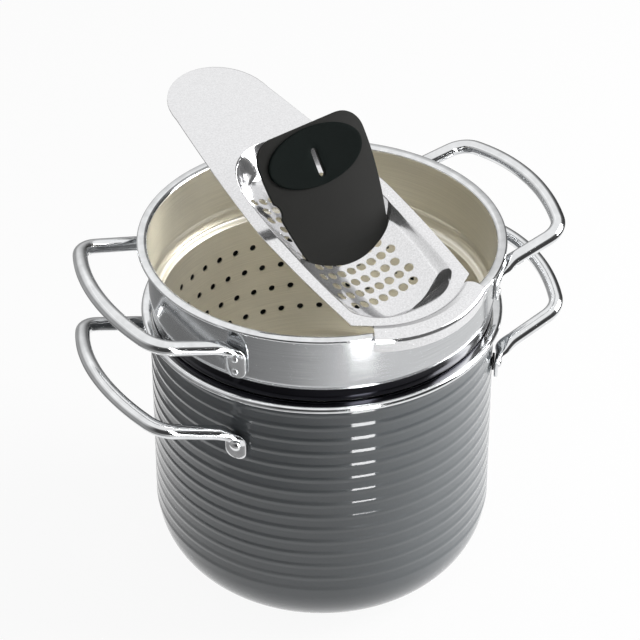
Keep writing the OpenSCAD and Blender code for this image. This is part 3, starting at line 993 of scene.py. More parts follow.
@dataclass
class Pot:
    """The enamelled pot with its steel rim ring, handles, rivets and spacers."""

    wall_r: float = 118.5
    flare: float = 2.3
    height: float = 208.5
    wall_t: float = 2.9
    floor_t: float = 5.0
    corner: float = 50.0
    ridges: int = 15
    ridge_pitch: float = 10.77
    ridge_h: float = 0.45
    ridge_w: float = 6.4
    ridge_first: float = 7.4
    ring_h: float = 2.3
    ring_out: float = 6.0
    ring_drop: float = 1.6
    ring_roll: float = 2.5
    handle: BentHandle = field(default_factory=lambda: BentHandle(
        "pot_handle", 121.32, 178.0, 167.0, 15.6, 18.0, 18.8, 19.0))
    rivets: FootStuds = field(default_factory=lambda: FootStuds(
        "pot_rivets", 124.22, (169.3,), 8.0, 2.2, 113.6, 9.0, 1.4))

    def ridge_tree(self, finish: Material) -> Tree:
        """Build the tree that swells the wall into evenly spaced round ridges.

        Args:
            finish: Material of the wall.

        Returns:
            The tree.
        """
        tree, bench, given = new_tree("pot_ridges", {
            "Ridge pitch": 0.0108, "Ridge height": 0.0004, "Ridge width": 0.004,
            "First ridge": 0.2, "Ridge count": 15, "Inner radius": 0.117})
        x, y, z = bench.axes(bench.add("GeometryNodeInputPosition"))
        depth = (given["First ridge"] - z) / given["Ridge pitch"]
        nearest = bench.calc("MINIMUM", bench.calc("MAXIMUM", bench.calc("ROUND", depth), 0.0),
                             given["Ridge count"] - 1.0)
        away = (depth - nearest) * given["Ridge pitch"]
        share = bench.calc("MINIMUM", bench.calc("ABSOLUTE", away / (given["Ridge width"] * 0.5)), 1.0)
        lift = (bench.calc("COSINE", share * math.pi) + 1.0) * 0.5
        level = bench.vector(x, y)
        across = bench.out("ShaderNodeVectorMath", {0: level}, "Value", operation="LENGTH")
        outside = bench.calc("GREATER_THAN", across, given["Inner radius"])
        outward = bench.out("ShaderNodeVectorMath", {0: level}, operation="NORMALIZE")
        push = lift * outside * given["Ridge height"]
        shift = bench.out("ShaderNodeVectorMath", {0: outward, "Scale": push}, operation="SCALE")
        finish_tree(bench, bench.add("GeometryNodeSetPosition", {
            "Geometry": given["Geometry"], "Offset": shift}), finish)
        return tree

    def shell(self, finish: Material) -> None:
        """Turn the wall, press the ridges into it and dress it.

        Args:
            finish: Its material.
        """
        low_r, inner, c = self.wall_r + self.flare, self.wall_r - self.wall_t, self.corner
        wall = filled([(self.wall_r, self.height), (low_r, c)], 0.55)
        points, faces = turned(
            [(0.0, self.floor_t), (low_r - c, self.floor_t)]
            + arc(low_r - c, c, c - self.wall_t, -90, 0, 24) + [(inner, self.height)]
            + wall + arc(low_r - c, c, c, 0, -90, 28)[1:] + [(0.0, 0.0)], 192)
        piece = grown(make_piece("pot_wall", points, faces, 40), self.ridge_tree(finish),
                      ridge_pitch=self.ridge_pitch * MM, ridge_height=self.ridge_h * MM,
                      ridge_width=self.ridge_w * MM, first_ridge=(self.height - self.ridge_first) * MM,
                      ridge_count=self.ridges, inner_radius=(self.wall_r - 1) * MM)
        shade(piece.data, 40)
        dress(piece, "pot", "enamel", "pot_shell")

    def ring(self, finish: Material) -> None:
        """Turn the rolled steel ring that covers the wall's top edge.

        Args:
            finish: Its material.
        """
        inner, top, roll = self.wall_r - self.wall_t, self.height + self.ring_h, self.ring_roll
        out, foot, seat = self.wall_r + self.ring_out, self.height - self.ring_drop, self.wall_r - 1.2
        outline = (eased([(seat, self.height), (inner, self.height), (inner, top), (out - roll, top)], 0.6)
                   + arc(out - roll, top - roll, roll, 90, 0, 10)[1:]
                   + eased([(out, foot + 0.9), (out - 0.1, foot), (out - 0.9, foot),
                            (out - 1.4, top - roll), (self.wall_r + 0.8, self.height - 0.1),
                            (seat, self.height)], 0.35, 4)[:-1])
        piece = make_piece("pot_rolled_ring", *turned(outline), 60)
        piece.data.materials.append(finish)
        dress(piece, "pot", "steel", "pot_rim_ring")

    def build(self, finishes: Finishes) -> None:
        """Build and dress every piece of the pot.

        Args:
            finishes: The materials of the set.
        """
        self.shell(finishes.enamel)
        self.ring(finishes.polished)
        self.handle.pair("pot", finishes.tube)
        self.rivets.build("pot", "pot_rivet", finishes.polished)
        for c in CORNERS:
            paint(f"pot_spacer_{c}", finishes.spacer)


# ---------------------------------------------------------------- insert


@dataclass
class Insert:
    """The draining insert: rolled rim, wall, neck painted near black as a painted dark reflection, shelf
    and perforated basket.
    """

    shelf_z: float = 211.1
    rim_z: float = 264.7
    wall_r: float = 118.5
    rim_r: float = 125.0
    rim_t: float = 3.0
    rim_round: float = 1.4
    sheet: float = 0.9
    neck_r: float = 117.3
    neck_z: float = 221.1
    step_z: float = 222.9
    basket_r: float = 112.0
    basket_z: float = 93.1
    basket_corner: float = 12.0
    drain_d: float = 4.8
    per_row: int = 48
    rows: int = 4
    pitch: float = 20.0
    top_row: float = 187.5
    floor_rings: tuple[tuple[float, int], ...] = ((0.0, 1), (20.0, 8), (40.0, 16), (60.0, 24), (80.0, 32))
    handle: BentHandle = field(default_factory=lambda: BentHandle(
        "insert_handle", 118.8, 246.0, 163.2, 13.7, 19.0, 15.0, 22.0))
    welds: FootStuds = field(default_factory=lambda: FootStuds(
        "insert_weld_buttons", 121.65, (228.5, 238.0), 5.0, 1.1))

    def outline(self) -> Outline:
        """Draw the shell in section.

        Returns:
            The outline, from the basket's floor outside, over the rim, to its floor inside.
        """
        b, c, t, e = self.basket_r, self.basket_corner, self.sheet, self.rim_round
        n, w, s, m, p = self.neck_r, self.wall_r, self.shelf_z, self.neck_z, self.step_z
        under, edge = self.rim_z - self.rim_t, self.rim_r - e
        outside = ([(0.0, self.basket_z)] + arc(b - c, self.basket_z + c, c, -90, 0, 10)
                   + [(b, s)] + arc(n - 1.5, s + 1.5, 1.5, -90, 0, 6) + [(n, m - 0.2)]
                   + arc(w - 0.9, m + 0.8, 0.5, -110, 60, 6)
                   + [(w - 0.75, p - 0.5), (w - 0.35, p + 0.2), (w, p + 1.2), (w, under)]
                   + arc(edge, under + e, e, -90, 0, 7) + arc(edge, self.rim_z - e, e, 0, 90, 7)[1:])
        inside = (arc(w - t + self.rim_t, under, self.rim_t, 90, 180, 10)
                  + [(w - t, p + 1.2), (w - t - 0.3, p + 0.3), (n - t + 0.15, m + 0.2), (n - t, m - 0.9)]
                  + arc(n - t - 3, s + t + 3, 3, 0, -90, 8) + arc(b - t + 1, s + t - 1, 1, 90, 180, 5)
                  + arc(b - c, self.basket_z + c, c - t, 0, -90, 10) + [(0.0, self.basket_z + t)])
        return filled(outside, 4.5) + filled(inside, 4.5)

    @staticmethod
    def hole_tree(finish: Material) -> Tree:
        """Build the tree that drills staggered rows of holes through the basket's wall.

        Args:
            finish: Material of the shell.

        Returns:
            The tree.
        """
        tree, bench, given = new_tree("draining_rows", {
            "Hole diameter": 0.0048, "Wall radius": 0.112, "Top row": 0.1875, "Row pitch": 0.02,
            "Holes in a row": 48, "Rows": 4})
        number, per = bench.out("GeometryNodeInputIndex"), given["Holes in a row"]
        row = bench.calc("FLOOR", (number + 0.25) / per)
        column = number - row * per
        turn = (column + bench.calc("MODULO", row, 2.0) * 0.5) / per * TAU
        spot = bench.polar(turn, given["Wall radius"], given["Top row"] - row * given["Row pitch"])
        drilled(bench, given, per * given["Rows"], spot, bench.vector(0.0, math.pi / 2, turn), finish)
        return tree

    @staticmethod
    def floor_tree(finish: Material) -> Tree:
        """Build the tree that drills one ring of holes through the basket's floor.

        Args:
            finish: Material of the shell.

        Returns:
            The tree.
        """
        tree, bench, given = new_tree("draining_ring", {
            "Hole diameter": 0.0048, "Ring radius": 0.02, "Floor height": 0.093, "Holes": 8})
        turn = bench.out("GeometryNodeInputIndex") / given["Holes"] * TAU
        spot = bench.polar(turn, given["Ring radius"], given["Floor height"])
        drilled(bench, given, given["Holes"], spot, None, finish)
        return tree

    def zone_of(self, middle: Vector, normal: Vector) -> Zone:
        """Tell which zone a face of the shell belongs to.

        Args:
            middle: Middle of the face.
            normal: Its normal.

        Returns:
            The zone.
        """
        z, r = middle.z / MM, math.hypot(middle.x, middle.y) / MM
        outward = middle.x * normal.x + middle.y * normal.y
        if z > self.rim_z - self.rim_t - 0.1 and r > self.wall_r - 0.6:
            return Zone.RIM
        # Faces that face inwards get the inside's painted warm reflection.
        if outward <= 0 or r < self.basket_r - 0.4:
            return Zone.INSIDE
        # Faces from the shelf up to the neck's top get the neck's painted dark reflection.
        if self.shelf_z - 0.1 < z < self.neck_z + 0.25:
            return Zone.NECK
        return Zone.WALL

    def shell(self, finishes: Finishes) -> None:
        """Turn the shell, drill it and give each zone its finish.

        Args:
            finishes: The materials of the set.
        """
        middle = self.sheet / 2
        piece = grown(make_piece("insert_body", *turned(self.outline()), 38), self.hole_tree(finishes.wall),
                      hole_diameter=self.drain_d * MM, wall_radius=(self.basket_r - middle) * MM,
                      top_row=self.top_row * MM, row_pitch=self.pitch * MM,
                      holes_in_a_row=self.per_row, rows=self.rows)
        ring_tree = self.floor_tree(finishes.wall)
        for radius, count in self.floor_rings:
            grown(piece, ring_tree, hole_diameter=self.drain_d * MM, ring_radius=radius * MM,
                  floor_height=(self.basket_z + middle) * MM, holes=count)
        mesh = piece.data
        mesh.materials.clear()
        for finish in (finishes.wall, finishes.neck, finishes.inside, finishes.polished):
            mesh.materials.append(finish)
        for polygon in mesh.polygons:
            polygon.material_index = self.zone_of(polygon.center, polygon.normal).value
        shade(mesh, 38)
        dress(piece, "insert", "steel", "insert_shell")

    def build(self, finishes: Finishes) -> None:
        """Build and dress every piece of the insert.

        Args:
            finishes: The materials of the set.
        """
        self.shell(finishes)
        self.handle.pair("insert", finishes.tube)
        self.welds.build("insert", "insert_welds", finishes.polished)


# ---------------------------------------------------------------- chute


@dataclass
class Chute:
    """The polished chute: a plate with a perforated trough, and a lip that hooks on the rim.

    Its own frame has x across, s from the rim hook to the grip end and n up from the plate.
    """

    turn: float = 9.6
    tilt: float = 13.1
    shift: float = 3.8
    tilt_out: float = 120.6
    tilt_z: float = 261.7
    tilt_s: float = -0.9
    tilt_n: float = -1.4
    length: float = 275.0
    half: float = 53.0
    end_half: float = 38.4
    side_from: float = 20.0
    widest_at: float = 112.0
    mouth_half: float = 44.0
    mouth_start: float = 11.8
    mouth_end: float = 190.0
    mouth_widest: float = 83.0
    mouth_straight: float = 136.0
    floor_r: float = 67.7
    depth: float = 20.9
    floor_half: float = 32.0
    run: float = 14.0
    spine: tuple[float, float] = (52.0, 150.0)
    spine_r: float = 55.0
    sheet: float = 0.9
    lip_centre: float = 78.0
    lip_flat_r: float = 74.5
    lip_from: float = -30.0
    lip_to: float = 32.6
    hump_h: float = 3.85
    skirt_h: float = 6.5
    press_d: float = 6.5
    press_rows: int = 12
    press_pitch: float = 10.0
    press_start: float = 44.4
    press_turn: float = 6.94
    edge_soft: float = 1.3
    floor_soft: float = 3.0
    edge_round: float = 0.22

    @property
    def end_at(self) -> float:
        """Where the grip end starts to round."""
        return self.length - self.end_half

    @property
    def axis(self) -> float:
        """Height of the trough's round axis above the plate."""
        return self.floor_r - self.depth

    def place(self) -> Matrix:
        """Place the chute on the rim.

        Returns:
            The chute's own frame in the part's frame, in metres.
        """
        return (Matrix.Rotation(math.radians(self.turn), 4, "Z")
                @ Matrix.Translation(Vector((-self.shift, -self.tilt_out, self.tilt_z)) * MM)
                @ Matrix.Rotation(math.radians(self.tilt), 4, "X")
                @ Matrix.Translation(Vector((0, -self.tilt_s, -self.tilt_n)) * MM))

    def plate_half(self, s: float) -> float:
        """Measure the plate across.

        Args:
            s: Where it is measured.

        Returns:
            Half its width.
        """
        if s < self.widest_at:
            return self.half - 0.00054 * (self.widest_at - s) ** 2
        share = (s - self.widest_at) / (self.end_at - self.widest_at)
        return self.half - (self.half - self.end_half) * share ** 1.3

    def lip_spot(self, angle: float, radius: float) -> tuple[float, float]:
        """The x and s of a point at an angle and a radius about the lip's centre."""
        return radius * math.sin(angle), self.lip_centre - radius * math.cos(angle)

    def plate_outline(self) -> np.ndarray:
        """Draw the plate without its lip.

        Returns:
            Its closed outline.
        """
        lip = np.radians(np.linspace(self.lip_from, self.lip_to, 60))
        front = [self.lip_spot(a, self.lip_flat_r) for a in lip]
        side = [(self.plate_half(s), s) for s in np.linspace(self.side_from, self.end_at, 50)]
        end = [(self.end_half * math.cos(a), self.end_at + self.end_half * math.sin(a))
               for a in np.linspace(0, math.pi, 60)]
        return np.array(front + side + end[1:-1] + [(-x, s) for x, s in reversed(side)])

    def mouth_side(self, s: float) -> float:
        """Half width of the mouth at s."""
        return self.mouth_half - 0.00095 * (s - self.mouth_widest) ** 2

    def mouth_front(self, x: float) -> float:
        """The s of the mouth's front edge at x."""
        return self.mouth_start + 10.1 * (x / 50) ** 2 + 23.3 * (x / 50) ** 4

    def mouth_outline(self) -> np.ndarray:
        """Draw the trough's mouth.

        Returns:
            Its closed outline.
        """
        corner, last, power = self.mouth_half - 3.2, self.mouth_straight, 2.2
        right = [(x, self.mouth_front(x)) for x in np.linspace(0, corner, 24)]
        right += [(self.mouth_side(s), s) for s in np.linspace(self.mouth_front(corner) + 3, last, 24)]
        for share in np.sin(np.linspace(0, math.pi / 2, 30)[1:]):
            right.append((self.mouth_side(last) * max(1 - share ** power, 0) ** (1 / power),
                          last + (self.mouth_end - last) * share))
        return np.array(mirrored(right))

    def floor_outline(self) -> np.ndarray:
        """Draw the line at which the sloping walls end.

        Returns:
            The closed outline.
        """
        first, last = self.mouth_start + self.run, self.mouth_end - self.run
        low, high = 26.0, 30.0
        right = [(0.0, first)] + arc(self.floor_half - low, first + low, low, -90, 0, 24)
        right += arc(self.floor_half - high, last - high, high, 0, 90, 24) + [(0.0, last)]
        return np.array(mirrored(right))

    def rays(self, count: int = 300) -> tuple[np.ndarray, np.ndarray]:
        """Find rays from the trough's spine that meet every outline once.

        Args:
            count: Number of even rays, to which the plate's four front corners are added.

        Returns:
            The start and the direction of each ray.
        """
        low, high = self.spine
        straight, bend = high - low, math.pi * self.spine_r
        total = 2 * (straight + bend)
        corners = [(side * self.plate_half(self.side_from), self.side_from) for side in (1, -1)]
        corners += [self.lip_spot(math.radians(a), self.lip_flat_r) for a in (self.lip_from, self.lip_to)]
        places = [total * i / count for i in range(count)]
        places += [(math.atan2(x, low - s) / math.pi * bend) % total for x, s in corners]
        starts, ways = [], []
        for p in sorted(places):
            if p < bend / 2 or p >= total - bend / 2:
                a = (p if p < bend / 2 else p - total) / bend * math.pi
                start, way = low, (math.sin(a), -math.cos(a))
            elif p < bend / 2 + straight:
                start, way = low + p - bend / 2, (1.0, 0.0)
            elif p < 1.5 * bend + straight:
                a = (p - bend / 2 - straight) / bend * math.pi
                start, way = high, (math.cos(a), math.sin(a))
            else:
                start, way = high - (p - 1.5 * bend - straight), (-1.0, 0.0)
            starts.append((0.0, start))
            ways.append(way)
        return np.array(starts), np.array(ways)

    def depth_at(self, spots: np.ndarray) -> np.ndarray:
        """Depth of the pressed sheet below the plate, with soft blends.

        Args:
            spots: The x and s of each place.

        Returns:
            The depth at each place.
        """
        angles = np.linspace(0, TAU, 720, endpoint=False)
        ways = np.stack([np.cos(angles), np.sin(angles)])
        mouth, bottom = (self.mouth_outline() @ ways).max(0), (self.floor_outline() @ ways).max(0)
        wall = self.depth * ((mouth - spots @ ways) / (mouth - bottom)).min(1)
        rim = 0.5 * (wall + np.sqrt(wall * wall + self.edge_soft ** 2)) - 0.02
        rim = np.where(wall < -6, 0.0, rim)
        across = np.clip(np.abs(spots[:, 0]), 0, self.floor_r - 1)
        floor = np.sqrt(self.floor_r ** 2 - across ** 2) - self.axis
        return np.maximum(0.5 * (rim + floor - np.sqrt((rim - floor) ** 2 + self.floor_soft ** 2)), 0.0)

    def lip_section(self) -> Outline:
        """Draw the top face of the lip in section.

        Returns:
            Distance from the lip's centre and height of each point.
        """
        r0, n0, h, k = self.lip_centre - self.tilt_s, self.tilt_n, self.hump_h, self.skirt_h
        rough = [(self.lip_flat_r, 0.0), (r0 - 4.25, 0.03)]
        rough += [(r0 + x, n0 + y) for x, y in arc(0, 0, 4.32, 158, 112, 5) + [
            (0.35, 4.77), (1.5, h + 1.35), (2.8, h + 1.45), (5, h + 1.4), (7.5, h + 1.05), (9.6, h + 0.65),
            (10.6, h - 0.15), (11.2, h - 1.65), (11.8, 1.4 - k / 2), (12.1, 1.4 - k)]]
        return filled(eased(rough, 0.9, 3), 1.2)

    def sheet_mesh(self) -> tuple[np.ndarray, Faces]:
        """Mesh the top face of the chute as rings that follow the trough's outlines, with the lip.

        Returns:
            Points in millimetres and faces.
        """
        starts, ways = self.rays()
        count = len(starts)
        shares = ([*np.linspace(0.0, 0.86, 13)[1:], 0.92, 0.97],
                  [0.02, 0.08, 0.16, 0.28, 0.45, 0.62, 0.76, 0.86, 0.93, 0.97],
                  [0.0, 0.04, 0.1, 0.2, 0.35, 0.55, 0.8, 0.97, 1.0])
        rings: list[np.ndarray] = []
        inner = np.zeros(count)
        outlines = (self.floor_outline(), self.mouth_outline(), self.plate_outline())
        for outline, steps in zip(outlines, shares):
            reach = np.array([reach_to(outline, start, way) for start, way in zip(starts, ways)])
            rings += [starts + ways * (inner + (reach - inner) * share)[:, None] for share in steps]
            inner = reach
        spots = np.concatenate(rings)
        points = np.column_stack([spots, -self.depth_at(spots)])
        points[-count:, 2] = 0.0
        faces = woven(len(rings), count)
        heights = [round(float(s), 6) for s in starts[:, 1]]
        spine = sorted(set(heights))
        number = {s: len(points) + i for i, s in enumerate(spine)}
        middle = np.array([(0.0, s) for s in spine])
        points = np.vstack([points, np.column_stack([middle, -self.depth_at(middle)])])
        for j in range(count):
            k = (j + 1) % count
            a, b = number[heights[j]], number[heights[k]]
            faces.append([a, k, j] if a == b else [a, b, k, j])
        return self.with_lip(points, faces, (len(rings) - 1) * count, count)

    def with_lip(self, points: np.ndarray, faces: Faces, first: int,
                 count: int) -> tuple[np.ndarray, Faces]:
        """Carry the sheet on from the plate's front edge over the rim.

        Args:
            points: Points of the plate and trough.
            faces: Their faces.
            first: Number of the outermost ring's first point.
            count: Points in that ring.

        Returns:
            All points and faces.
        """
        section = self.lip_section()[1:]
        edge = points[first:first + count]
        turns = np.degrees(np.arctan2(edge[:, 0], self.lip_centre - edge[:, 1]))
        away = np.hypot(edge[:, 0], edge[:, 1] - self.lip_centre)
        on_lip = ((np.abs(away - self.lip_flat_r) < 0.06) & (turns > self.lip_from - 0.05)
                  & (turns < self.lip_to + 0.05))
        order = sorted((float(turns[j]), j) for j in range(count) if on_lip[j])
        base, size = len(points), len(section)
        points = np.vstack([points, np.array([(*self.lip_spot(math.radians(turn), r), n)
                                              for turn, _ in order for r, n in section])])
        for i in range(len(order) - 1):
            a, b = order[i][1], order[i + 1][1]
            faces.append([first + a, first + b, base + (i + 1) * size, base + i * size])
            for k in range(size - 1):
                low, high = base + i * size + k, base + (i + 1) * size + k
                faces.append([low, high, high + 1, low + 1])
        return points, faces

    @staticmethod
    def hole_tree(finish: Material) -> Tree:
        """Build the tree that punches the staggered pressing holes into the round floor.

        Args:
            finish: Material of the sheet.

        Returns:
            The tree.
        """
        tree, bench, given = new_tree("pressing_holes", {
            "Hole diameter": 0.0065, "Floor radius": 0.0677, "Axis height": 0.0468, "First row": 0.0444,
            "Row pitch": 0.01, "Turn between holes": 0.12, "Rows": 12})
        short, both = 7.0, 15.0
        number, radius = bench.out("GeometryNodeInputIndex"), given["Floor radius"]
        pair = bench.calc("FLOOR", (number + 0.25) / both)
        rest = number - pair * both
        second = bench.calc("GREATER_THAN", rest, short - 0.5)
        row = pair * 2.0 + second
        turn = (rest - second * short - (second * 0.5 + 3.0)) * given["Turn between holes"]
        along = given["First row"] + row * given["Row pitch"]
        spot = bench.vector(bench.calc("SINE", turn) * radius, along,
                            given["Axis height"] - bench.calc("COSINE", turn) * radius)
        drilled(bench, given, given["Rows"] * (both / 2), spot, bench.vector(0.0, turn * -1.0), finish)
        return tree

    def build(self, finish: Material) -> None:
        """Press, thicken, punch and dress the chute.

        Args:
            finish: Its material.
        """
        piece = make_piece("chute_sheet", *self.sheet_mesh(), 60)
        if piece.data.polygons[0].normal.z < 0:
            piece.data.flip_normals()
        thick = piece.modifiers.new("sheet", "SOLIDIFY")
        thick.thickness, thick.offset, thick.use_even_offset = self.sheet * MM, -1.0, True
        bevelled(piece, self.edge_round, 2, 62)
        grown(baked(piece), self.hole_tree(finish), hole_diameter=self.press_d * MM,
              floor_radius=self.floor_r * MM, axis_height=self.axis * MM, first_row=self.press_start * MM,
              row_pitch=self.press_pitch * MM, turn_between_holes=math.radians(self.press_turn),
              rows=self.press_rows)
        piece.data.transform(self.place())
        shade(piece.data, 48)
        dress(piece, "chute", "steel", "chute_tray")


# ---------------------------------------------------------------- scraper


@dataclass
class Scraper:
    """The plastic scraper: a bowed blade with a hang slot and an oval grip pad."""

    chute: Chute
    at: float = 84.0
    lean: float = 46.0
    roll: float = 3.5
    height: float = 94.0
    half: float = 42.1
    low_half: float = 29.6
    bow_h: float = 72.0
    corner: float = 16.0
    thick: float = 2.5
    edge_round: float = 0.45
    gap: float = 0.3
    notch_r: float = 7.0
    notch_in: float = 4.5
    notch_h: float = 47.5
    grip_up: float = 72.5
    grip_w: float = 37.0
    grip_h: float = 19.5
    slot_w: float = 5.0
    slot_len: float = 20.0
    slot_up: float = 68.0

    def place(self) -> Matrix:
        """Stand the blade in the trough.

        Returns:
            The blade's own frame in the part's frame: x across, y up the blade, z its thickness.
        """
        return (self.chute.place() @ Matrix.Translation(Vector((0, self.at, self.chute.axis)) * MM)
                @ Matrix.Rotation(math.radians(-self.roll), 4, "Y")
                @ Matrix.Translation(Vector((0, 0, -self.chute.floor_r)) * MM)
                @ Matrix.Rotation(math.radians(-self.lean), 4, "X")
                @ Matrix.Rotation(math.radians(90), 4, "X"))

    def low_edge(self, x: float, t: float) -> float:
        """Height at which the blade is cut by the trough's round floor, at thickness t."""
        r, a = self.chute.floor_r, math.radians(self.lean)
        return (r - t * math.sin(a) - math.sqrt((r - self.gap) ** 2 - x * x)) / math.cos(a)

    def side(self, h: float) -> float:
        """Measure the blade across.

        Args:
            h: Height at which it is measured.

        Returns:
            Half its width.
        """
        if h >= self.bow_h:
            return self.half
        return self.half - (self.half - self.low_half) * ((self.bow_h - h) / self.bow_h) ** 1.75

    def blade_loop(self, t: float) -> Outline:
        """Outline of the blade, round from its lower right corner.

        Args:
            t: Thickness at which it is taken.

        Returns:
            The closed outline.
        """
        start, c = self.low_edge(self.low_half + 0.6, t), self.corner
        right = [(self.side(h), h) for h in np.linspace(start, self.height - c, 40)]
        right += arc(self.half - c, self.height - c, c, 0, 90, 16)[1:]
        left = [(-x, h) for x, h in reversed(right)]
        cut = arc(-self.half - self.notch_r + self.notch_in, self.notch_h, self.notch_r, 62, -62, 13)
        keep = [p for p in cut if p[0] > -self.side(p[1])]
        upper = [p for p in left if p[1] > keep[0][1]]
        lower = [p for p in left if p[1] < keep[-1][1]]
        across = np.linspace(-self.side(start), self.side(start), 42)[1:-1]
        bottom = [(x, self.low_edge(x, t)) for x in across]
        return right + upper + keep + lower + bottom

    def slot_loop(self, steps: int = 17) -> Outline:
        """Closed outline of the hang slot, with the given steps in each of its ends."""
        r, y = self.slot_w / 2, (self.slot_len - self.slot_w) / 2
        return arc(0, self.slot_up + y, r, 0, 180, steps) + arc(0, self.slot_up - y, r, 180, 360, steps)

    def blade(self, finish: Material) -> None:
        """Build the blade with its slot, its notch and softened edges.

        Args:
            finish: Its material.
        """
        back, front, slot = self.blade_loop(0.0), self.blade_loop(self.thick), self.slot_loop()
        n, m = len(back), len(slot)
        levels = ((back, 0.0), (front, self.thick), (slot, 0.0), (slot, self.thick))
        points = [(x, y, z) for loop, z in levels for x, y in loop]
        faces: Faces = []
        for z, loop in ((0, back), (1, front)):
            loops = [[Vector((x, y, 0)) for x, y in part] for part in (loop, slot)]
            lookup = [z * n + i for i in range(n)] + [2 * n + z * m + i for i in range(m)]
            faces += [[lookup[i] for i in tri] for tri in tessellate_polygon(loops)]
        faces += woven(2, n) + [[2 * n + i for i in face] for face in woven(2, m)]
        piece = make_piece("scraper_plate", np.array(points), faces, 30, self.place())
        bevelled(piece, self.edge_round, 3, 38)
        shade(baked(piece).data, 32)
        piece.data.materials.append(finish)
        dress(piece, "scraper", "blade_plastic", "scraper_blade")

    def grip(self, finish: Material) -> None:
        """Build the oval pad, dished towards the slot and rounded at its edge.

        Args:
            finish: Its material.
        """
        count, hole = 96, np.array(self.slot_loop(99))
        middle = np.array([0.0, self.slot_up])
        profile = [(0.0, 0.0), (0.0, 0.95), (0.04, 1.15), (0.3, 1.1), (0.6, 1.2), (0.8, 1.45), (0.9, 1.68),
                   (0.95, 1.78), (0.98, 1.72), (0.995, 1.5), (1.0, 1.2), (1.0, 0.0)]
        spans = []
        for a in np.linspace(0, TAU, count, endpoint=False):
            edge = np.array([self.grip_w * math.cos(a), self.grip_up + self.grip_h * math.sin(a)])
            way = (edge - middle) / np.linalg.norm(edge - middle)
            spans.append((middle + way * reach_to(hole, middle, way), edge))
        points = [(*(near + (edge - near) * share), self.thick + up) for share, up in profile
                  for near, edge in spans]
        piece = make_piece("scraper_pad", np.array(points), woven(len(profile), count, joined=True), 45,
                           self.place())
        piece.data.materials.append(finish)
        dress(piece, "scraper", "grip_plastic", "scraper_grip")

    def build(self, finishes: Finishes) -> None:
        """Build and dress both pieces."""
        self.blade(finishes.blade)
        self.grip(finishes.grip)


# ---------------------------------------------------------------- studio


def aimed(thing: Object, spot: Sequence[float], aim: Sequence[float]) -> None:
    """Stand a lamp or a camera and turn it to a point.

    Args:
        thing: The lamp or camera.
        spot: Where it stands, in metres.
        aim: The point, in metres.
    """
    thing.location = spot
    thing.rotation_euler = (Vector(aim) - Vector(spot)).to_track_quat("-Z", "Y").to_euler()


@dataclass
class Softbox:
    """A large soft lamp.

    Args:
        name: Its name.
        spot: Where it stands, in metres.
        size: Width and height, in metres.
        power: Power in watts.
        seen: Whether mirrors show it.
        aim: Where it is turned to, in metres.
    """

    name: str
    spot: tuple[float, float, float]
    size: tuple[float, float]
    power: float
    seen: bool = True
    aim: tuple[float, float, float] = (0.0, 0.0, 0.15)

    def build(self) -> None:
        """Hang the lamp and turn it to the object."""
        light = bpy.data.lights.new(self.name, "AREA")
        light.shape, light.size, light.size_y = "RECTANGLE", self.size[0], self.size[1]
        light.energy = self.power
        lamp = placed(self.name, light)
        lamp.visible_glossy = self.seen
        aimed(lamp, self.spot, self.aim)


